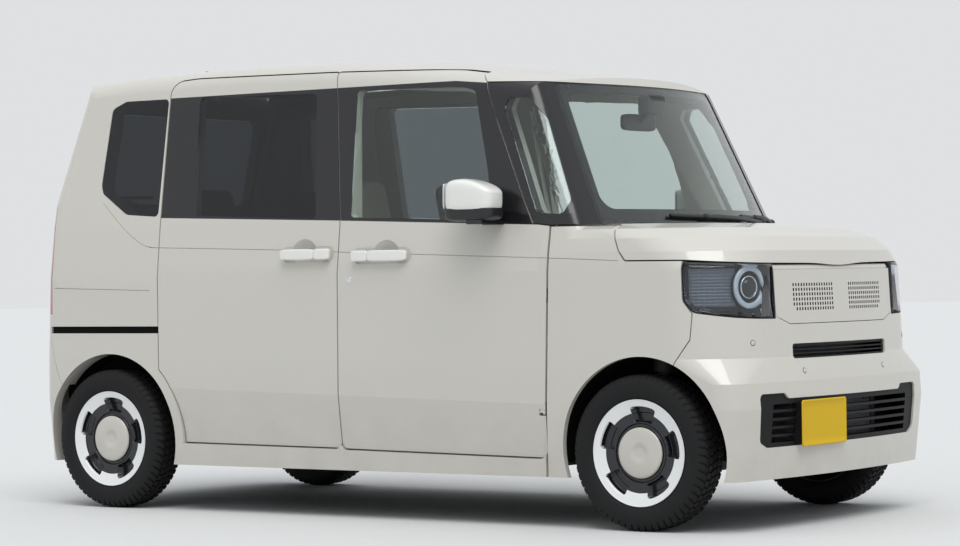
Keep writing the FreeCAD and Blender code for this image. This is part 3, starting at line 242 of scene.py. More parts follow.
# Tyres: one moulded rubber ring each. Five ribs of tread blocks stand 6.5 mm over the grooves, cut across at
# a slant, and the shoulder blocks run a little way down the side walls.
tyre_radius, tyre_half_width = 0.2785, 0.0775
pitches, groove_deep, side_points = 60, 0.0065, 15
shoulder_start, shoulder_wide, shoulder_drop, crown_drop = 0.050, 0.0195, 0.0125, 0.0012
merge_distance = 1e-6


def middle_of(name):
    """The middle of a frame node's box."""
    low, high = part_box(name)
    return (np.array(low) + np.array(high)) / 2


def smooth_line(points, count):
    """A Catmull-Rom curve through the points: count places, evenly spread by point number."""
    p = np.array(points, float)
    ends = np.vstack([2 * p[:1] - p[1:2], p, 2 * p[-1:] - p[-2:-1]])
    t = np.linspace(0, len(p) - 1, count)
    i = np.minimum(t.astype(int), len(p) - 2)
    f = (t - i)[:, None]
    a, b, c, d = ends[i], ends[i + 1], ends[i + 2], ends[i + 3]
    return 0.5 * (2 * b + (c - a) * f + (2 * a - 5 * b + 4 * c - d) * f ** 2
                  + (3 * b - a - 3 * c + d) * f ** 3)


def placed(name, data):
    """Mesh, lens or lamp data as an object of the scene."""
    thing = bpy.data.objects.new(name, data)
    bpy.context.scene.collection.objects.link(thing)
    return thing


def grid_faces(shape, around, across, first=0):
    """The quads between a grid's neighbours; around closes it over its rows, across over its columns."""
    index = first + np.arange(shape[0] * shape[1]).reshape(shape[:2])
    if around:
        index = np.vstack([index, index[:1]])
    if across:
        index = np.hstack([index, index[:, :1]])
    return np.stack([index[:-1, :-1], index[1:, :-1], index[1:, 1:], index[:-1, 1:]], -1).reshape(-1, 4)


def piece_from(name, points, quads, material, body="car_body", smooth=True):
    """A piece from points and faces, in one material and slot, on one body."""
    mesh = bpy.data.meshes.new(name)
    mesh.from_pydata(points, [], quads)
    mesh.materials.append(material)
    mesh.polygons.foreach_set("use_smooth", np.full(len(quads), smooth))
    piece = placed(name, mesh)
    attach(piece, body)
    return piece


def surface(name, grid, material, body="car_body", around=False, across=False, smooth=True):
    """A piece through a grid of points; around closes it over its rows, across over its columns."""
    quads = grid_faces(grid.shape, around, across)
    return piece_from(name, grid.reshape(-1, 3), quads, material, body, smooth)


def out_from(piece):
    """Turns the faces of a closed or nearly closed mesh to point outwards."""
    shape = bmesh.new()
    shape.from_mesh(piece.data)
    bmesh.ops.remove_doubles(shape, verts=shape.verts, dist=merge_distance)
    bmesh.ops.recalc_face_normals(shape, faces=shape.faces)
    shape.to_mesh(piece.data)
    shape.free()
    return piece


def shell(name, grid, material, body="car_body", across=False, smooth=True):
    """A piece closed over its grid's rows, or over its columns if across, with its faces outwards."""
    return out_from(surface(name, grid, material, body, not across, across, smooth))


rubber = grained("tyre_rubber", (0.011, 0.011, 0.0115), 0.7, 500.0, 0.0003, 0.35, 0.1,
                 Specular_IOR_Level=0.25)
cut_share = np.array([0.0, 0.06, 0.10, 0.36, 0.40, 0.68, 0.72, 0.97])
cut_depth = np.array([0.0, 1.0, 1.0, 0.0, 0.0, 0.0, 0.0, 0.0])
side_wall = smooth_line([(0.060, 0.186), (0.064, 0.192), (0.072, 0.204), (0.0768, 0.222), (0.0775, 0.237),
                         (0.0755, 0.251), (0.0715, 0.262)], side_points)
rib_lines = np.array([0.0695, 0.066, 0.060, 0.052, 0.047, 0.0465, 0.0405, 0.040, 0.029, 0.0185, 0.018, 0.012,
                      0.0115])
rib_floor = np.array([0, 0, 0, 0, 0, 1, 1, 0, 0, 0, 1, 1, 0])
rib_lines = np.concatenate([rib_lines, -rib_lines[::-1]])
rib_floor = np.concatenate([rib_floor, rib_floor[::-1]])
rounding = np.clip((np.abs(rib_lines) - shoulder_start) / shoulder_wide, 0, 1) ** 2
crown = tyre_radius - shoulder_drop * rounding - crown_drop * (rib_lines / shoulder_start) ** 2
profile = np.vstack([side_wall, np.column_stack([rib_lines, np.minimum(crown, tyre_radius)]),
                     side_wall[::-1] * (-1, 1)])
on_shoulder = np.clip((profile[:, 1] - 0.252) / 0.008, 0, 1)
groove = np.concatenate([np.zeros(side_points), rib_floor, np.zeros(side_points)])
turn = ((np.arange(pitches)[:, None] + cut_share[None, :]) / pitches).ravel()
cross = np.tile(cut_depth, pitches)
slant = (0.35 / pitches * np.sin(profile[:, 0] / tyre_half_width * np.pi * 1.5)
         + 0.5 / pitches * (np.abs(profile[:, 0]) > 0.043))
depth = groove_deep * np.maximum(groove[None, :] * np.ones((len(turn), 1)),
                                 cross[:, None] * on_shoulder[None, :])
angle = 2 * np.pi * (turn[:, None] + slant[None, :])
reach = profile[None, :, 1] - depth
tread = np.stack([reach * np.cos(angle), np.broadcast_to(profile[None, :, 0], reach.shape),
                  reach * np.sin(angle)], -1)
corners = [(f"{axle}_{side}", sign) for axle in ("front", "rear") for side, sign in sides]
for corner, sign in corners:
    tyre = shell("tread_" + corner, tread + middle_of("tyre_" + corner), rubber,
                 "wheel_" + corner, smooth=False)
    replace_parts(tyre, "tyre_" + corner)

# Wheels: pressed steel sprayed gloss black with a white trim ring. Five deep pockets bite into the ring, and
# a cap in body paint with a plain dished middle snaps over the nuts. Columns: reach, distance outboard
wheel_front = [
    (0.0, 0.0605), (0.010, 0.0605), (0.0255, 0.0605), (0.0285, 0.0625), (0.045, 0.0622), (0.065, 0.0614),
    (0.080, 0.0602), (0.0865, 0.0588), (0.0898, 0.0565), (0.0910, 0.0520), (0.0916, 0.0440), (0.0960, 0.0425),
    (0.1020, 0.0425), (0.1045, 0.0445), (0.1058, 0.0500)]
wheel_back = [
    (0.1872, 0.0674), (0.1895, 0.0682), (0.1908, 0.0670), (0.1908, 0.0580), (0.1790, 0.0560), (0.1780, 0.0),
    (0.1780, -0.0560), (0.1890, -0.0580), (0.1908, -0.0600), (0.1908, -0.0660), (0.1850, -0.0660),
    (0.1700, -0.0600), (0.1690, 0.0050), (0.1600, 0.0070), (0.1080, 0.0070), (0.0800, 0.0400),
    (0.0300, 0.0420), (0.0, 0.0420)]
bite_inner, bite_outer, bite_half, bite_round = 0.1110, 0.1650, np.radians(18.5), 0.010
bite_depth, bite_wall, bites, first_bite = 0.031, 0.0015, 5, np.radians(5.7)
ring_foot, cap_reach = 0.1430, 0.0912
disc_reach = np.concatenate([np.linspace(0.1070, 0.1425, 24), np.linspace(0.1432, 0.1860, 28)])
disc_face = np.where(disc_reach < ring_foot, 0.0505 + 0.05 * (disc_reach - 0.107),
                     0.0560 + 0.24 * (disc_reach - ring_foot))
wheel_line = np.vstack([wheel_front, np.column_stack([disc_reach, disc_face]), wheel_back])
sector = np.radians(np.concatenate([np.linspace(-36, -19.4, 10), [-18.9, -18.1], np.linspace(-17.5, 17.5, 26),
                                    [18.1, 18.9], np.linspace(19.4, 36, 10)[:-1]]))
spin = (first_bite + np.radians(360 // bites) * np.arange(bites)[:, None] + sector[None, :]).ravel()
off_bite = np.tile(sector, bites)


def bite_depth_at(reach, off):
    """A pocket's depth: a rounded rectangle's signed distance in the wheel's plane, ramped over its wall."""
    across = np.abs(reach - (bite_inner + bite_outer) / 2) - (bite_outer - bite_inner) / 2 + bite_round
    along_turn = (np.abs(off) - bite_half) * reach + bite_round
    outside = (np.hypot(np.maximum(across, 0), np.maximum(along_turn, 0))
               + np.minimum(np.maximum(across, along_turn), 0) - bite_round)
    return bite_depth * np.clip(0.5 - outside / bite_wall, 0, 1)


front_columns = len(wheel_front) + len(disc_reach)
reach, off = np.broadcast_arrays(wheel_line[None, :, 0], off_bite[:, None])
pressed = bite_depth_at(reach, off)
pressed[:, front_columns:] = 0.0
wheel_grid = np.stack([reach * np.sin(spin)[:, None], wheel_line[None, :, 1] - pressed,
                       reach * np.cos(spin)[:, None]], -1)
face_reach = (wheel_line[:-1, 0] + wheel_line[1:, 0]) / 2
face_pressed = (pressed[:, :-1] + np.roll(pressed, -1, 0)[:, 1:]) / 2
on_front = np.arange(len(face_reach)) < front_columns + 2
ring_faces = on_front[None, :] & (face_reach[None, :] > ring_foot) & (face_pressed < bite_depth * 0.3)
cap_faces = np.broadcast_to(on_front & (face_reach < cap_reach), ring_faces.shape)
wheel_faces = np.where(ring_faces, 1, np.where(cap_faces, 2, 0)).astype(np.int32).ravel()
wheel_black = grained("wheel_black", (0.007, 0.008, 0.012), 0.22, 500.0, 0.00002, 0.2, 0.06, Coat_Weight=0.3)
ring_white = grained("ring_white", (0.80, 0.81, 0.80), 0.3, 500.0, 0.00002, 0.03, 0.05, Coat_Weight=0.6)
for corner, sign in corners:
    wheel = surface("steel_wheel_" + corner, wheel_grid * (1, sign, 1) + middle_of("tyre_" + corner),
                    wheel_black, "wheel_" + corner, True)
    wheel.data.materials.append(ring_white)
    wheel.data.materials.append(body_paint)
    wheel.data.polygons.foreach_set("material_index", wheel_faces)
    out_from(wheel)
    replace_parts(wheel, "wheel_" + corner)

# Headlamps: a moulded clear lens over a black bucket. A frosted light guide, open towards the grille, lies on
# the ring round the projector's glass, and a ribbed reflector for the turn lamp fills the outboard corner.
lamp_glass = pane("lamp_glass", (0.88, 0.92, 0.96))
frosted_guide = grained("light_guide", (0.42, 0.45, 0.49), 0.25, 900.0, 0.0001, 0.08, 0.08, Coat_Weight=0.5)
chrome = grained("chrome", (0.75, 0.76, 0.78), 0.12, 300.0, 0.00002, 0.05, 0.05, Metallic=1.0)
reflector = grained("reflector", (0.10, 0.11, 0.13), 0.35, 700.0, 0.0002, 0.1, 0.1, Metallic=0.5)
lamp_black = grained("lamp_black", (0.006, 0.006, 0.007), 0.5, 900.0, 0.0001, 0.2, 0.06,
                     Specular_IOR_Level=0.2)
lens_limit, lens_wall, bucket_wall, reflector_wall = 0.35, 0.0028, 0.0035, 0.002
ring_centre = np.array([1.586, -0.537, 0.861])
ring_turn = np.radians(15)
ring_axis = np.array([np.cos(ring_turn), -np.sin(ring_turn), 0.0])
ring_across = np.array([np.sin(ring_turn), np.cos(ring_turn), 0.0])
ring_frame = (ring_centre, ring_axis, ring_across)
guide_radius, guide_height, guide_gap = 0.0665, 0.0035, 9


def oval(wide, tall, count=20, power=1.0):
    """Points of a closed oval: cosine and sine of the turn; a power under 1 squares it."""
    a = np.linspace(0, 2 * np.pi, count, endpoint=False)
    bent = [np.sign(f(a)) * np.abs(f(a)) ** power for f in (np.cos, np.sin)]
    return np.column_stack([wide * bent[0], tall * bent[1]])


def mirrored_to(points, sign):
    """The right side's points, or their mirror image for the left side."""
    return np.asarray(points) * (1, -sign, 1)


def turned_about(profile, centre, axis, across, count=64):
    """A profile of (reach, height) turned about an axis through the centre; the turn starts at across."""
    turn = np.linspace(0, 2 * np.pi, count, endpoint=False)[:, None, None]
    profile = np.asarray(profile, float)
    radial = np.cos(turn) * across + np.sin(turn) * np.cross(axis, across)
    return centre + profile[None, :, :1] * radial + profile[None, :, 1:] * axis


def facing_out(mesh, limit):
    """Which faces look forward and outboard, as a headlamp's lens does, by more than the limit."""
    normals, centres = per_face(mesh, "normal"), per_face(mesh, "center")
    return normals[:, 0] * 0.8 - normals[:, 1] * np.sign(-centres[:, 1]) * 0.6 > limit


def copy_of(name, node, kept=None):
    """A node's mesh as a new object, its doubles merged: without its materials, or the faces not kept."""
    shape = bmesh.new()
    shape.from_mesh(nodes[node].data)
    if kept is not None:
        shape.faces.ensure_lookup_table()
        lost = [face for face, keep in zip(shape.faces, kept) if not keep]
        bmesh.ops.delete(shape, geom=lost, context="FACES")
    bmesh.ops.remove_doubles(shape, verts=shape.verts, dist=merge_distance)
    mesh = bpy.data.meshes.new(name)
    shape.to_mesh(mesh)
    shape.free()
    for left in [a.name for a in mesh.attributes if a.name == "custom_normal"]:
        mesh.attributes.remove(mesh.attributes[left])
    mesh.materials.clear()
    return placed(name, mesh)


def walled(sheet, thickness):
    """Gives an open sheet that thickness behind its faces."""
    wall = sheet.modifiers.new("wall", "SOLIDIFY")
    wall.thickness = thickness
    return wall


def lamp_skin(name, chosen, material, thickness):
    """Some faces of the headlamps' node as a sheet of that thickness, laid inside its surface."""
    piece = copy_of(name, "headlamps", chosen)
    mesh = piece.data
    mesh.materials.append(material)
    mesh.polygons.foreach_set("material_index", np.zeros(len(mesh.polygons), np.int32))
    mesh.set_sharp_from_angle(angle=np.radians(30))
    walled(piece, thickness).use_even_offset = True
    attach(piece, "car_body")
    return piece


lens_faces = facing_out(nodes["headlamps"].data, lens_limit)
lenses = lamp_skin("headlamp_lenses", lens_faces, lamp_glass, lens_wall)
lamp_skin("headlamp_buckets", ~lens_faces, lamp_black, bucket_wall)
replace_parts(lenses, "headlamps")
dome = np.radians(np.linspace(0, 80, 14))
bulb_line = np.vstack([np.column_stack([0.035 * np.sin(dome), 0.024 * np.cos(dome) - 0.006]),
                       [[0.035, -0.010], [0.0, -0.010]]])
ring_line = [(0.054, -0.010), (0.0545, -0.001), (0.056, 0.0), (0.075, 0.0), (0.0775, -0.002), (0.078, -0.010)]
hoop_line = [(0.036, -0.009), (0.036, 0.002), (0.0385, 0.0045), (0.041, 0.002), (0.043, -0.009)]
guide_turn = np.radians(np.linspace(guide_gap, 360 - guide_gap, 100))[:, None, None]
guide_oval = oval(0.0105, 0.0055, 16, 0.7)
guide_full = np.clip(np.minimum(guide_turn, 2 * np.pi - guide_turn) - np.radians(guide_gap),
                     0, np.radians(2)) / np.radians(2)
guide_spoke = np.cos(guide_turn) * ring_across + np.sin(guide_turn) * np.cross(ring_axis, ring_across)
guide_grid = ring_centre + (guide_radius + guide_full * guide_oval[None, :, :1]) * guide_spoke + (
    guide_height + guide_full * guide_oval[None, :, 1:]) * ring_axis
swing = np.radians(np.linspace(31, 72, 40))[:, None]
level = np.linspace(0.792, 0.928, 70)[None, :]
flute = 0.233 + 0.0020 * np.abs(np.sin(level * np.pi / 0.0115)) + 0.0012 * np.abs(np.sin(swing * 38))
ribs = np.stack([1.3589 + flute * np.cos(swing), -0.4675 - flute * np.sin(swing), level + 0 * swing], -1)
wedge_turn = np.linspace(0, 1, 16)[:, None]
wedge_level = np.linspace(0.785, 0.862, 18)[None, :]
wedge_rise = (wedge_level - 0.785) / 0.077
wedge = np.stack([1.606 - 0.006 * wedge_turn + 0.010 * np.sin(wedge_rise * np.pi),
                  -0.4510 - 0.026 * wedge_turn * (1.4 - wedge_rise), wedge_level + 0 * wedge_turn], -1)
for side, sign in sides:
    for name, grid, material, across in (
            ("lamp_ring", turned_about(ring_line, *ring_frame), lamp_black, False),
            ("light_guide", guide_grid, frosted_guide, True),
            ("projector_glass", turned_about(bulb_line, *ring_frame), lamp_glass, False),
            ("projector_hoop", turned_about(hoop_line, *ring_frame), chrome, False)):
        shell(f"{name}_{side}", mirrored_to(grid, sign), material, across=across)
    for name, grid, material in (("turn_reflector", ribs, reflector), ("side_reflector", wedge, chrome)):
        walled(surface(f"{name}_{side}", mirrored_to(grid, sign), material), reflector_wall)

# Grille panel: moulded plastic, painted like the bumper, with six rows of small upright slots through each
# half over a black sheet: painted shade for the dark seen through the slots. A painted strip above it
# closes the gap under the hood's edge.
panel_sharp = np.radians(24)
crease_reach = 0.007


def carved(name, node, cutters, body, *extra, crease=None):
    """A copy of a node's mesh with solids taken out of it, shaded flat to its larger faces; it replaces it.

    Edges along the crease, a line (x, z) to (x, z), stay sharp whatever their angle.
    """
    piece = copy_of(name, node)
    for material in [*nodes[node].data.materials, *extra]:
        piece.data.materials.append(material)
    for cutter in cutters:
        bite = piece.modifiers.new("bite", "BOOLEAN")
        bite.operation, bite.solver, bite.object = "DIFFERENCE", "MANIFOLD", cutter
    bpy.context.view_layer.update()
    ready = bpy.data.meshes.new_from_object(piece.evaluated_get(bpy.context.evaluated_depsgraph_get()))
    piece.modifiers.clear()
    piece.data = ready
    ready.polygons.foreach_set("use_smooth", np.full(len(ready.polygons), True))
    ready.set_sharp_from_angle(angle=panel_sharp)
    if crease:
        places = np.array([corner.co for corner in ready.vertices])
        on_line = np.abs(places[:, 2] - np.interp(places[:, 0], *np.transpose(crease))) < crease_reach
        for edge in ready.edges:
            if on_line[edge.vertices[0]] and on_line[edge.vertices[1]]:
                edge.use_edge_sharp = True
    piece.modifiers.new("level", "WEIGHTED_NORMAL").keep_sharp = True
    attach(piece, body)
    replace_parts(piece, node)
    return piece


def cutter_from(name, points, quads, material_index=0):
    """A closed mesh used only to cut others: what it cuts takes that material of the piece."""
    mesh = bpy.data.meshes.new(name)
    mesh.from_pydata(points, [], quads)
    for _ in range(material_index + 1):
        mesh.materials.append(grained_black)
    mesh.polygons.foreach_set("material_index", np.full(len(quads), material_index, np.int32))
    return out_from(placed(name, mesh))


def put_away(*tools):
    """Takes cutters out of the scene."""
    for tool in tools:
        bpy.data.objects.remove(tool, do_unlink=True)


def panel_face(y, z, inset):
    """The panel's outer x, less the inset: an arc in plan, on a line that leans back 17 mm in 318 mm."""
    return (nose_x - nose_inset - 0.017 * (z - 0.612) / 0.318 - nose_bow + np.sqrt(nose_bow ** 2 - y ** 2)
            - inset)


slot_rows, slot_columns, slot_pitch, slot_low, slot_start = 6, 16, 0.0173, 0.780, 0.065
slot_half = np.array([0.060, 0.0041, 0.0055])
cube = np.array([(x, y, z) for x in (-1, 1) for y in (-1, 1) for z in (-1, 1)], float)
cube_quads = np.array([(0, 1, 3, 2), (4, 6, 7, 5), (0, 4, 5, 1), (2, 3, 7, 6), (0, 2, 6, 4), (1, 5, 7, 3)])
slots = np.array([(1.640, way * (slot_start + column * slot_pitch), slot_low + row * slot_pitch)
                  for row in range(slot_rows) for column in range(slot_columns - (row == 0))
                  for way in (-1, 1)])
slot_points = (slots[:, None, :] + cube * slot_half).reshape(-1, 3)
slot_quads = (np.arange(len(slots))[:, None, None] * 8 + cube_quads).reshape(-1, 4)
slot_tool = cutter_from("slot_tool", slot_points, slot_quads, 1)
carved("grille_face", "grille_panel", [slot_tool], "car_body", grained_black)
put_away(slot_tool)
nose_x, nose_inset, nose_bow = 1.6975, 0.022, 3.508
strip_low, strip_top, hood_gap, strip_wall, shade_sheet_wall = 0.9205, 0.930, 0.0062, 0.003, 0.002
strip_y = np.linspace(-0.434, 0.434, 80)
strip_x = panel_face(strip_y, strip_top, 0.004)
under_hood = np.array([nodes["hood"].ray_cast((x - 0.002, y, 0.915), (0, 0, 1))[1][2] - hood_gap
                       for x, y in zip(strip_x, strip_y)])
under_hood = np.clip(under_hood, 0.9225, 0.9385)
rise = np.linspace(0, 1, 6)[None, :]
strip_z = strip_low + (under_hood[:, None] - strip_low) * rise
strip = np.stack([strip_x[:, None] - 0.006 * rise ** 2, strip_y[:, None] + 0 * strip_z, strip_z], -1)
walled(surface("grille_brow", strip, body_paint), strip_wall)
# A black sheet behind the slots: painted shade, standing for the dark seen through them.
shade_sheet_y, shade_sheet_z = np.meshgrid(np.linspace(-0.36, 0.36, 40), np.linspace(0.766, 0.885, 10), indexing="ij")
grille_shade_sheet = np.stack([panel_face(shade_sheet_y, shade_sheet_z, 0.014), shade_sheet_y, shade_sheet_z], -1)
walled(surface("grille_shade_backing", grille_shade_sheet, grained_black), shade_sheet_wall)

# Doors, sides and fenders: pressed steel. One line runs round the quarter glass and forward to the hood's
# edge, one lies behind the sliding door, a crease low on the doors tucks them in, and each door is dished
# behind its handle. The sheet is cut to those forms.
belt_line = [(-1.319, 1.231), (-1.275, 1.190), (-1.205, 1.131), (-1.152, 1.093), (-1.094, 1.059),
             (-1.051, 1.048), (-0.980, 1.044), (-0.371, 1.025), (-0.097, 1.013), (0.868, 0.975),
             (1.170, 0.961)]
quarter_line = [(-1.660, 0.891), (-1.003, 0.8735)]
line_half, line_deep, line_clear = 0.0030, 0.0032, 0.004
handle_half, cup_radius, cup_deep, pocket_deep, pocket_clear = 0.021, 0.066, 0.022, 0.004, 0.010
crease_ends, crease_foot, crease_deep, crease_clear = ((-1.030, 0.489), (0.875, 0.447)), 0.240, 0.021, 0.02
handle_spans = {"front": (-0.015, 0.244, 0.996, 0.020), "sliding": (-0.361, -0.121, 1.006, -0.018)}
outer_panels = [name + "_right" for name in ("front_door", "sliding_door", "body_side", "fender")]


def tube(path, section, lift):
    """The grid of a section carried along a path: its first number goes sideways, its second along the lift.

    Sideways is the path's direction crossed with the lift, and each end closes to the path's end point.
    """
    path = np.asarray(path, float)
    ahead = np.gradient(path, axis=0)
    sideways = np.cross(ahead, lift)
    sideways /= np.linalg.norm(sideways, axis=1, keepdims=True)
    upward = np.cross(sideways, ahead)
    upward /= np.linalg.norm(upward, axis=1, keepdims=True)
    section = np.asarray(section, float)
    grid = (path[:, None, :] + section[None, :, :1] * sideways[:, None, :]
            + section[None, :, 1:] * upward[:, None, :])
    ends = [np.repeat(path[i][None, None, :], len(section), 1) for i in (0, -1)]
    return np.concatenate([ends[0], grid[:1], grid, grid[-1:], ends[1]])


def on_side(points):
    """The right side's outer y at places (x, z): where a ray from outside meets it, carried over the gaps."""
    found = np.full(len(points), np.nan)
    for i, (x, z) in enumerate(points):
        for node in outer_panels + ["front_bumper"]:
            hit, spot, _, _ = nodes[node].ray_cast((x, -1.0, z), (0, 1, 0))
            if hit and spot[1] < -0.66:
                found[i] = np.nanmin([found[i], spot[1]])
    known = ~np.isnan(found)
    places = np.arange(len(points))
    return np.interp(places, places[known], found[known])


def grid_tool(name, grid, sign, around):
    """A cutter from the right side's grid, closed over its rows if around, and otherwise over its columns."""
    points = mirrored_to(grid, sign).reshape(-1, 3)
    return cutter_from(name, points, grid_faces(grid.shape, around, not around))


def stadium_pocket(low_x, high_x, face, z):
    """A shallow pocket round a handle: a stadium's loop at each depth, closed to its middle at both."""
    rim, middle = handle_half + 0.009, (low_x + high_x) / 2
    straight = (high_x - low_x) / 2 + 0.008 - rim
    turn = np.radians(np.concatenate([np.linspace(-90, 90, 13), np.linspace(90, 270, 13)]))
    stadium = np.column_stack([rim * np.cos(turn) + straight * np.repeat([1, -1], 13), rim * np.sin(turn)])
    layers = np.array([pocket_deep, pocket_deep, -pocket_clear, -pocket_clear])
    scale = np.array([0.0, 1.0, 1.0, 0.0])
    return np.stack([middle + stadium[:, None, 0] * scale, face + layers + 0 * stadium[:, None, 0],
                     z + stadium[:, None, 1] * scale], -1)


groove_section = [(-line_half, line_clear), (line_half, line_clear),
                  (0.0004, -line_deep), (-0.0004, -line_deep)]
grooves = {}
share = np.arange(14)[:, None] / 13
quarter_points = np.array(quarter_line[0]) * (1 - share) + np.array(quarter_line[1]) * share
for name, points in (("belt", smooth_line(belt_line, 90)), ("quarter", quarter_points)):
    places = np.column_stack([points[:, 0], on_side(points), points[:, 1]])
    grooves[name] = tube(places, groove_section, (0, -1, 0))
key_place = np.array([-0.039, on_side([(-0.039, 0.906)])[0], 0.906])
rail_x = np.linspace(-1.587, -1.010, 40)
rail_face = on_side(np.column_stack([rail_x, 0 * rail_x + 0.742]))
cup_ball = (cup_radius ** 2 + cup_deep ** 2) / (2 * cup_deep)
cap_turn = np.linspace(0, np.arcsin((cup_radius + 0.004) / cup_ball), 14)
cap_line = np.column_stack([cup_ball * np.sin(cap_turn), cup_ball * (1 - np.cos(cap_turn)) - cup_deep])
cap_line = np.vstack([cap_line, [(0.0, cap_line[-1, 1])]])
cups = {}
for door, (low_x, high_x, z, shift) in handle_spans.items():
    face = on_side([((low_x + high_x) / 2 + shift, z)])[0]
    centre = np.array([(low_x + high_x) / 2 + shift, face, z + 0.003])
    cap = turned_about(cap_line, centre, np.array([0.0, -1.0, 0.0]), np.array([1.0, 0.0, 0.0]), 48)
    cups[door] = (cap, stadium_pocket(low_x, high_x, face, z))
crease_faces = on_side(np.array([(x, z) for x in (-0.9, 0.8) for z in (0.46, 0.30)])).reshape(2, 2)
tuck_points = []
for (x, z), (upper, lower) in zip(crease_ends, crease_faces):
    tuck_points += [(x, upper - crease_clear, z), (x, upper, z), (x, lower + crease_deep, crease_foot),
                    (x, lower - crease_clear, crease_foot)]
tuck_quads = [(0, 1, 5, 4), (1, 2, 6, 5), (2, 3, 7, 6), (3, 0, 4, 7), (0, 3, 2, 1), (4, 5, 6, 7)]
for side, sign in sides:
    belt_tool = grid_tool("belt_tool", grooves["belt"], sign, False)
    quarter_tool = grid_tool("quarter_tool", grooves["quarter"], sign, False)
    tuck_tool = cutter_from("tuck_tool", mirrored_to(tuck_points, sign), tuck_quads)
    dish = {door: [grid_tool("cup_tool", cap, sign, True), grid_tool("pocket_tool", pocket, sign, True)]
            for door, (cap, pocket) in cups.items()}
    for door, body in (("front", "front_door_" + side), ("sliding", "car_body")):
        carved(f"{door}_door_skin_{side}", f"{door}_door_{side}", [belt_tool, tuck_tool] + dish[door], body,
               crease=crease_ends)
    carved("side_skin_" + side, "body_side_" + side, [belt_tool, quarter_tool], "car_body")
    carved("fender_skin_" + side, "fender_" + side, [belt_tool], "car_body")
    put_away(belt_tool, quarter_tool, tuck_tool, *dish["front"], *dish["sliding"])

# Door mirrors: a white painted shell over a black moulded foot and arm, with the glass set in its rear face.
# The arm is screwed to the door's corner, so all of it swings with the door.
mirror_centre, mirror_half = np.array([0.600, -0.810, 1.203]), np.array([0.104, 0.062, 0.066])
foot_centre, foot_half = np.array([0.597, -0.808, 1.146]), np.array([0.106, 0.061, 0.033])
shell_foot, foot_top = 1.152, 1.160


def pebble_unit(north=0.4, east=0.4, rows=40, columns=56):
    """A unit superellipsoid: sine and cosine of two angles, to powers under 1 that square its sides."""
    up = np.linspace(-np.pi / 2, np.pi / 2, rows)[None, :]
    round_angle = np.linspace(0, 2 * np.pi, columns, endpoint=False)[:, None]

    def bent(value, power):
        return np.sign(value) * np.abs(value) ** power

    return np.stack([bent(np.cos(up), north) * bent(np.cos(round_angle), east),
                     bent(np.cos(up), north) * bent(np.sin(round_angle), east),
                     bent(np.sin(up), north) * np.ones_like(round_angle)], -1)


def pebble(centre, half, *squareness):
    """The unit superellipsoid times its half sizes, about its centre."""
    return np.array(centre) + pebble_unit(*squareness) * np.array(half)


mirror_black = grained("mirror_black", (0.014, 0.014, 0.016), 0.28, 900.0, 0.00005, 0.2, 0.06)
mirror_glass = grained("mirror_glass", (0.85, 0.87, 0.90), 0.03, 40.0, 0.00001, 0.01, 0.01, Metallic=1.0)
unit = pebble_unit(0.45, 0.5)
mirror_form = mirror_centre + unit * mirror_half
forward = np.clip((unit[..., 0] + 0.2) / 1.2, 0, 1)
mirror_form[..., 2] -= (np.maximum(unit[..., 2], 0) * (0.020 + 0.020 * unit[..., 0]) * (unit[..., 0] > -0.2)
                        * forward)
lower_edge = shell_foot - 0.012 * np.clip((unit[..., 0] - 0.1) / 0.3, 0, 1)
mirror_form[..., 2] = np.maximum(mirror_form[..., 2], lower_edge)
unit = pebble_unit(0.5, 0.45)
foot_form = foot_centre + unit * foot_half
foot_form[..., 2] = np.where(unit[..., 2] > 0, np.minimum(foot_form[..., 2], foot_top), foot_form[..., 2])
glass_form = pebble((0.4975, -0.810, 1.205), (0.0022, 0.050, 0.050), 0.3, 0.3, 24, 40)
for side, sign in sides:
    body = "front_door_" + side
    mirror = shell("mirror_shell_" + side, mirrored_to(mirror_form, sign), trim_white, body)
    shell("mirror_foot_" + side, mirrored_to(foot_form, sign), mirror_black, body)
    shell("mirror_glass_" + side, mirrored_to(glass_form, sign), mirror_glass, body)
    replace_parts(mirror, "mirror_and_handle_" + side)

# Door handles: a smooth white grip on two feet over each cup, split a third of the way along, where the grip
# parts from its fixed cap. A plated key cylinder sits below the right front one.
grip_y, grip_half_deep, grip_half_tall, split_gap, end_bend = -0.7530, 0.0080, 0.0205, 0.0006, 0.004
grips = []
for side, sign in sides:
    for door, (low_x, high_x, z, _) in handle_spans.items():
        body = "front_door_" + side if door == "front" else "car_body"
        split = low_x + (high_x - low_x) * (0.30 if door == "front" else 0.70)
        for number, (start_x, end_x) in enumerate(((low_x, split - split_gap), (split + split_gap, high_x))):
            grip = pebble(((start_x + end_x) / 2, grip_y, z),
                          ((end_x - start_x) / 2, grip_half_deep, grip_half_tall), 0.35, 0.25)
            outer = start_x if number == 0 else end_x
            fade = np.clip(np.abs(grip[..., 0] - outer) / 0.05, 0, 1)
            grip[..., 1] += end_bend * (1 - fade) ** 2
            grips.append(shell(f"{door}_grip_{number}_{side}", mirrored_to(grip, sign), trim_white,
                               body))
        for number, where in enumerate((low_x + 0.027, high_x - 0.027)):
            grip_foot = pebble((where, -0.7400, z), (0.013, 0.0130, 0.012), 0.3, 0.3, 16, 24)
            shell(f"{door}_grip_foot_{number}_{side}", mirrored_to(grip_foot, sign), trim_white,
                  body)
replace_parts(grips[2], "sliding_door_handles")
shell("key_cylinder", pebble(key_place, (0.0120, 0.0030, 0.0120), 1.0, 1.0, 24, 32), chrome,
      "front_door_right")

# Sliding doors' rails: a dark strip, 12 mm in from the body's face, fills the slot behind each door. It stands
# for the steel rail that the door's rear arm runs on.
rail_level, rail_inset = 0.718, 0.012
rail_path = np.column_stack([rail_x, rail_face + rail_inset, 0 * rail_x + rail_level])


def carried(name, path, section, lift, material, body="car_body"):
    """A closed piece: a section carried along a path."""
    return shell(name, tube(path, section, lift), material, body, across=True)


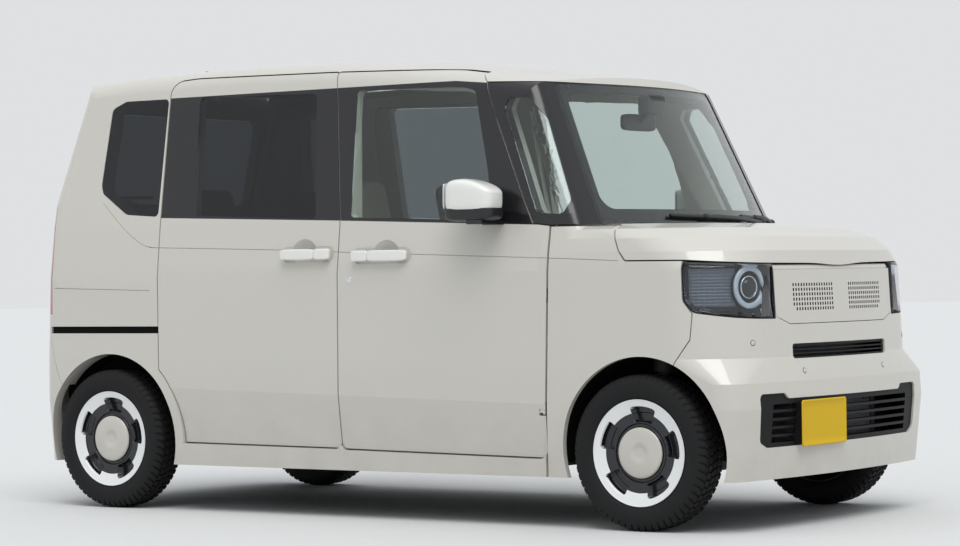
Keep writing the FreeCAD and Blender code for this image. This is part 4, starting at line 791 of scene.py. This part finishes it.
for side, sign in sides:
    carried("rail_strip_" + side, mirrored_to(rail_path, sign), oval(0.0136, 0.002, 12, 0.3), (0, -1, 0),
            arch_felt)

# Roof antenna: a small black rubber-covered foot at the rear of the roof, with a slim rod folded forward
# along it
antenna_rubber = grained("antenna_rubber", (0.013, 0.013, 0.014), 0.45, 900.0, 0.0001, 0.2, 0.08)
antenna_x, antenna_foot_z, antenna_half_wide = -1.375, 1.768, 0.022
foot_line = smooth_line([(antenna_x + back, z) for back, z in (
    (0.0, 1.772), (0.004, 1.792), (0.012, 1.8005), (0.030, 1.7985), (0.060, 1.7880), (0.090, 1.7790))], 24)
lip = np.linspace(-1, 1, 17)
to_end = (foot_line[:, 0] - antenna_x - 0.040) / 0.0505
half_foot = antenna_half_wide * np.sqrt(np.clip(1 - to_end ** 2, 0.0, 1))
foot_top_z = antenna_foot_z + (foot_line[:, 1:] - antenna_foot_z) * (1 - np.abs(lip[None, :]) ** 3)
foot_grid = np.stack([np.repeat(foot_line[:, :1], 17, 1), half_foot[:, None] * lip[None, :], foot_top_z], -1)
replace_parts(surface("antenna_foot", foot_grid, antenna_rubber), "roof_antenna")
rod = smooth_line([(antenna_x + back, 0, z) for back, z in (
    (0.014, 1.7945), (0.060, 1.7955), (0.150, 1.7975), (0.178, 1.7980))], 30)
carried("antenna_rod", rod, oval(0.0032, 0.0032, 12), (0, 0, 1), antenna_rubber)

# Wipers: painted steel arms with rubber blades, parked along the foot of the windscreen, each on a hub that
# comes up through the cowl
screen_foot, screen_slope, screen_turn = np.array([1.116, 1.104]), 0.466, np.radians(21)
screen_out = np.array([0.906, 0.0, 0.423])
wiper_black = grained("wiper_black", (0.012, 0.012, 0.013), 0.4, 900.0, 0.0001, 0.2, 0.08)
blade_section, arm_section = oval(0.007, 0.007, 12, 0.6), oval(0.0085, 0.0045, 12, 0.6)


def on_screen(y, z, off):
    """The windscreen's outer face: an arc in plan, shrinking with the cabin's width, on a leaning line."""
    half = 0.715 - (z - 1.135) * 0.075 / 0.51
    bow = (half - 0.080) / np.sin(screen_turn) + 0.080
    x = screen_foot[0] - (z - screen_foot[1]) * screen_slope - bow + np.sqrt(bow ** 2 - y ** 2)
    return np.stack([x + off, y + 0 * x, z + 0 * x], -1)


for name, start, end, pivot in (("near", (-0.255, 1.128), (0.235, 1.119), 0.455),
                                ("far", (0.255, 1.127), (0.590, 1.121), 0.600)):
    span = np.linspace(0, 1, 30)
    blade = on_screen(start[0] + (end[0] - start[0]) * span, start[1] + (end[1] - start[1]) * span, 0.010)
    carried("wiper_blade_" + name, blade, blade_section, screen_out, wiper_black)
    middle = blade[12]
    root = on_screen(np.array(pivot), np.array(1.100), 0.012)
    bend = (middle + root) / 2 + screen_out * 0.020
    arm = smooth_line([root - screen_out * 0.006, root + screen_out * 0.010, bend,
                       middle + screen_out * 0.006], 30)
    carried("wiper_arm_" + name, arm, arm_section, screen_out, wiper_black)
    shell("wiper_hub_" + name, pebble(root, (0.020, 0.022, 0.020), 0.7, 1.0, 20, 32), wiper_black)

# Tailgate fittings: a wiper parked over the foot of its glass, a painted grip bar with a raised black oval
# under it, painted shade for its recess, and a red reflector pressed into each corner of the bumper
def on_back(y, z, off=0.0):
    """The rearmost place of tailgate, glass or bumper at (y, z), moved outwards."""
    reached = []
    for node in ("tailgate", "tailgate_glass", "rear_bumper"):
        hit, spot, _, _ = nodes[node].ray_cast((-2.2, y, z), (1, 0, 0))
        if hit:
            reached.append(spot[0])
    return np.array([min(reached) - off, y, z])


rear_blade = np.array([on_back(y, 1.272 + 0.02 * y, 0.012) for y in np.linspace(-0.40, -0.02, 24)])
rear_root = on_back(0.0, 1.205, 0.010)
rear_arm = smooth_line([rear_root + (0.006, 0, 0), rear_root + (-0.008, -0.004, 0.004),
                        (rear_root + rear_blade[12]) / 2 + (-0.018, 0, 0),
                        rear_blade[12] + (-0.006, 0, 0)], 30)
carried("rear_blade", rear_blade, blade_section, (-1, 0, 0), wiper_black, "tailgate")
carried("rear_arm", rear_arm, oval(0.008, 0.0045, 12, 0.6), (-1, 0, 0), wiper_black,
        "tailgate")
shell("rear_hub", pebble(rear_root, (0.014, 0.020, 0.020), 0.7, 1.0, 20, 32), wiper_black,
      "tailgate")
shell("tailgate_grip", pebble(on_back(0.0, 0.800, 0.002), (0.012, 0.190, 0.019), 0.35, 0.2), body_paint,
      "tailgate")
# The black oval under the grip is painted shade: it stands for the dark of the recess there.
shell("tailgate_recess_shade", pebble(on_back(0.0, 0.776, -0.001), (0.006, 0.120, 0.012), 0.35, 0.2, 20, 40),
      grained_black, "tailgate")
for side, sign in sides:
    flash = pebble(on_back(sign * 0.520, 0.420, 0.001), (0.004, 0.050, 0.016), 0.3, 0.2, 20, 40)
    shell("bumper_reflector_" + side, flash, lamp_red)

# Windscreen band: black enamel fired round the glass's inner edge, which hides the glue line. The mirror and
# the camera's box hang behind it on the glass.
def rounded_loop(corners, arc=8, run=14):
    """A closed loop through corners (y, z, radius): each corner an arc, each side divided evenly."""
    corners = np.array(corners, float)
    points = []
    for i in range(len(corners)):
        here, before, after = corners[i, :2], corners[i - 1, :2], corners[(i + 1) % len(corners), :2]
        back, ahead = [(p - here) / np.linalg.norm(p - here) for p in (before, after)]
        half = np.arccos(np.clip(back @ ahead, -1, 1)) / 2
        middle = here + (back + ahead) / np.linalg.norm(back + ahead) * corners[i, 2] / np.sin(half)
        first, last = [here + way * corners[i, 2] / np.tan(half) - middle for way in (back, ahead)]
        t = np.linspace(0, 1, arc)[:, None]
        turn_arc = first * (1 - t) + last * t
        points.append(middle + turn_arc / np.linalg.norm(turn_arc, axis=1, keepdims=True) * corners[i, 2])
    joined = []
    for i in range(len(points)):
        t = np.linspace(0, 1, run + 2)[1:-1, None]
        joined += [points[i], points[i][-1] * (1 - t) + points[(i + 1) % len(points)][0] * t]
    return np.vstack(joined)


enamel = grained("enamel", (0.008, 0.008, 0.009), 0.35, 1500.0, 0.00002, 0.2, 0.08)
band_inset, band_wall = -0.0092, 0.0008
edge_loop = rounded_loop([(-0.609, 1.094, 0.03), (0.609, 1.094, 0.03), (0.546, 1.619, 0.04),
                          (-0.546, 1.619, 0.04)])
sight_loop = rounded_loop([(-0.560, 1.150, 0.05), (0.560, 1.150, 0.05), (0.507, 1.585, 0.05),
                           (-0.507, 1.585, 0.05)])
share = np.linspace(0, 1, 6)[None, :, None]
band = edge_loop[:, None, :] * (1 - share) + sight_loop[:, None, :] * share
enamel_band = surface("screen_band", on_screen(band[..., 0], band[..., 1], band_inset), enamel,
                      around=True)
walled(enamel_band, band_wall)
camera_box = pebble(on_screen(np.array(0.0), np.array(1.553), -0.045), (0.030, 0.060, 0.040), 0.3, 0.3)
shell("camera_unit", camera_box, enamel)
shell("inner_mirror", pebble((0.800, 0.0, 1.490), (0.012, 0.115, 0.032), 0.4, 0.3), enamel)
stalk = smooth_line([(0.812, 0.0, 1.495), (0.835, 0.0, 1.520), (0.858, 0.0, 1.545)], 12)
carried("inner_mirror_stalk", stalk, oval(0.008, 0.008), (0, 1, 0), enamel)

# Front number plate: blank yellow pressed aluminium with a raised rim, screwed to the holder on the grille,
# off centre to the car's right
plate_yellow = grained("plate_yellow", (0.66, 0.42, 0.008), 0.5, 700.0, 0.00003, 0.04, 0.05,
                       Specular_IOR_Level=0.2)
plate_middle = np.array([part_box("lower_grille")[1][0] + 0.0012, -0.200, 0.374])
plate_half_wide, plate_half_tall, plate_round = 0.165, 0.0825, 0.012
rims = [(0.0, -0.0010), (0.0, 0.0008), (0.0022, 0.0022), (0.0062, 0.0022), (0.0085, 0.0006), (0.0300, 0.0006)]
loops = []
for inset, height in rims:
    half_y, half_z, radius = plate_half_wide - inset, plate_half_tall - inset, max(plate_round - inset, 0.004)
    loop = rounded_loop([(way_y * half_y, way_z * half_z, radius)
                         for way_y, way_z in ((-1, -1), (1, -1), (1, 1), (-1, 1))], 8, 4)
    loops.append(np.column_stack([np.full(len(loop), height), loop]))
centres = [np.column_stack([np.full(len(loop), height), np.zeros((len(loop), 2))])
           for height in (rims[0][1], rims[-1][1])]
plate = np.stack([centres[0], *loops, centres[1]], 1) + plate_middle
shell("number_plate", plate, plate_yellow)

# Parking sensors: small painted discs in a black plastic ring, two of them pressed through each half of the
# front bumper
sensor_rim = [(0.0, -0.001), (0.0105, -0.001), (0.0105, 0.0006), (0.0090, 0.0006), (0.0, 0.0006)]
sensor_face = [(0.0, 0.0004), (0.0085, 0.0004), (0.0085, 0.0012), (0.0075, 0.0018), (0.0, 0.0018)]
for side, sign in sides:
    for number, (y, z) in enumerate(((-0.569, 0.665), (-0.300, 0.560))):
        _, spot, normal, _ = nodes["front_bumper"].ray_cast((1.9, -sign * y, z), (-1, 0, 0))
        spot, normal = np.array(spot), np.array(normal)
        level_side = np.cross(normal, (0.0, 0.0, 1.0))
        level_side /= np.linalg.norm(level_side)
        for name, line, material in (("sensor_ring", sensor_rim, mirror_black),
                                     ("sensor", sensor_face, body_paint)):
            disc = turned_about(line, spot, normal, level_side, 32)
            shell(f"{name}_{number}_{side}", disc, material)

# Seats: moulded foam under sewn cloth, crowned, with a pair of sewn channels up each cushion and back. Two
# stand side by side in each row, with a headrest on each back.
pad_step, channel_deep, channel_wide, seat_fill = 0.011, 0.009, 0.007, 0.85
seat_lean, seat_y, cushion_thick = np.radians(12), 0.330, 0.130


def loaf(half, radius, crown, steps):
    """A rounded, crowned block: each point of a box is drawn in to a smaller box and moved out by the radius.

    The broad faces then swell by the crown times (1 - a^2)(1 - b^2), with a and b running -1 to 1 over them.
    Returns the points, their faces, and each point's a, b and side of the block.
    """
    half = np.array(half)
    inner = half - radius
    points, quads, count = [], [], 0
    for axis in range(3):
        u, v = [i for i in range(3) if i != axis]
        for way in (-1, 1):
            lines = [np.linspace(-1, 1, steps[way_across] + 1) for way_across in (u, v)]
            a, b = np.meshgrid(*lines, indexing="ij")
            grid = np.empty(a.shape + (3,))
            grid[..., axis], grid[..., u], grid[..., v] = way, a, b
            quads.append(grid_faces(a.shape, False, False, count))
            points.append(grid.reshape(-1, 3))
            count += a.size
    unit = np.vstack(points)
    box_points = unit * half
    core = np.clip(box_points, -inner, inner)
    out = box_points - core
    length = np.linalg.norm(out, axis=1, keepdims=True)
    shaped = np.where(length > 1e-9, core + out / np.maximum(length, 1e-9) * radius, box_points)
    flat = (1 - unit[:, 0] ** 2) * (1 - unit[:, 1] ** 2)
    shaped[:, 2] += crown * flat * np.sign(unit[:, 2])
    return shaped, np.vstack(quads), unit


def pad(name, half, radius, crown, seams, place, lean):
    """One sewn pad: a loaf with a channel where |b| meets each seam, turned back by the lean, then placed."""
    points, quads, unit = loaf(half, radius, crown, [max(8, int(h * 2 / pad_step)) for h in half])
    on_top = np.clip(np.abs(unit[:, 2]) - 0.98, 0, 0.02) / 0.02
    for seam in seams:
        channel = np.exp(-((np.abs(unit[:, 1]) - seam) * half[1] / channel_wide) ** 2)
        points[:, 2] -= channel_deep * channel * on_top * np.sign(unit[:, 2])
    c, s = np.cos(lean), np.sin(lean)
    points = np.column_stack([points[:, 0] * c + points[:, 2] * s, points[:, 1],
                              points[:, 2] * c - points[:, 0] * s])
    piece = out_from(piece_from(name, points + np.array(place), quads, seat_cloth))
    return piece


def leaned_place(rear_x, y, foot, up_back, deep):
    """A place in the leaning back: that far up it from its foot, and that deep behind its front face."""
    return (rear_x - deep * np.cos(seat_lean) - up_back * np.sin(seat_lean), y,
            foot - deep * np.sin(seat_lean) + up_back * np.cos(seat_lean))


back_turn = np.pi / 2 + seat_lean
for row, rear_x, top_z, half_seat in (("front", -0.060, 0.610, 0.250), ("rear", -0.850, 0.600, 0.230)):
    foot = top_z - cushion_thick
    for side, sign in sides:
        y = sign * seat_y
        cushion = pad(f"{row}_cushion_{side}", (0.235, half_seat, 0.058), 0.045, 0.006, (0.62,),
                      (rear_x + 0.265, y, foot + 0.065), 0.0)
        pad(f"{row}_back_{side}", (0.305, half_seat, 0.054), 0.045, 0.005, (0.60,),
            leaned_place(rear_x, y, foot, 0.305, 0.060), -back_turn)
        pad(f"{row}_headrest_{side}", (0.095, 0.125, 0.045), 0.035, 0.005, (),
            leaned_place(rear_x, y, foot, 0.745, 0.060), -back_turn)
        if side == "right":
            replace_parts(cushion, f"{row}_seats")

# Camera: a long lens from the right front corner, low and level, as the photograph was taken
camera_place = np.array([6.7147, -9.4105, 0.9237])
yaw, pitch, roll = 0.616292, -0.00012, -0.015051
ahead = np.array([-np.sin(yaw) * np.cos(pitch), np.cos(yaw) * np.cos(pitch), -np.sin(pitch)])
level = np.array([np.cos(yaw), np.sin(yaw), 0.0])
upright = np.cross(level, ahead)
lens = bpy.data.cameras.new("camera")
lens.sensor_width = 36.0
lens.lens = 108.72
lens.clip_end = 100.0
camera = placed("camera", lens)
turned = np.eye(4)
turned[:3, 0] = np.cos(roll) * level + np.sin(roll) * upright
turned[:3, 1] = -np.sin(roll) * level + np.cos(roll) * upright
turned[:3, 2], turned[:3, 3] = -ahead, camera_place
camera.matrix_world = Matrix(turned.tolist())
bpy.context.scene.camera = camera

# Floor: a wide pale floor that takes the car's shadow. It belongs to the picture only, and is staged, so it
# is no piece of the part.
floor_reach = 60.0
floor_mesh = bpy.data.meshes.new("floor")
floor_corners = [(x * floor_reach, y * floor_reach, 0) for x, y in ((-1, -1), (1, -1), (1, 1), (-1, 1))]
floor_mesh.from_pydata(floor_corners, [], [(0, 1, 2, 3)])
floor_mesh.materials.append(grained("floor", (0.62, 0.62, 0.61), 0.85, 40.0, 0.0005, 0.03, 0.05))
placed("floor", floor_mesh)

# Light: an even sky, darker towards the ground, with one broad soft lamp from above the front right. The
# camera, glass and gloss see a plain pale background in its place.
background = (0.74, 0.75, 0.76)
world = bpy.data.worlds.new("sky")
world.use_nodes = True
bpy.context.scene.world = world
sky = world.node_tree
place = shade(sky, "TexCoord", {}, "Generated")
level = spread(sky, shade(sky, "SeparateXYZ", {"Vector": place}, "Z"), 0.0, 1.0, -0.1, 1.0)
ramp = shade(sky, "ValToRGB", {"Fac": level}, "Color")
stops = ramp.node.color_ramp.elements
stops[0].color = (0.30, 0.30, 0.30, 1)
stops[1].color = (0.92, 0.96, 1.0, 1)
stops[1].position = 0.75
for height, tone in ((0.10, (0.15, 0.15, 0.16, 1)), (0.22, (0.25, 0.27, 0.30, 1)),
                     (0.40, (0.62, 0.66, 0.72, 1))):
    stops.new(height).color = tone
seen = shade(sky, "LightPath", {}, "Is Camera Ray")
path = seen.node
for kind in ("Is Transmission Ray", "Is Glossy Ray"):
    seen = shade(sky, "Math", {0: seen, 1: path.outputs[kind]}, operation="MAXIMUM")
plug(sky, sky.nodes["Background"], {"Strength": 1.0, "Color": blend_colour(sky, seen, ramp, background)})
sun_lamp = bpy.data.lights.new("soft_sun", "SUN")
sun_lamp.energy, sun_lamp.angle = 1.6, 0.7
placed("soft_sun", sun_lamp).rotation_euler = (0.48, 0.24, 0.35)
bpy.context.scene.view_settings.view_transform = "Standard"
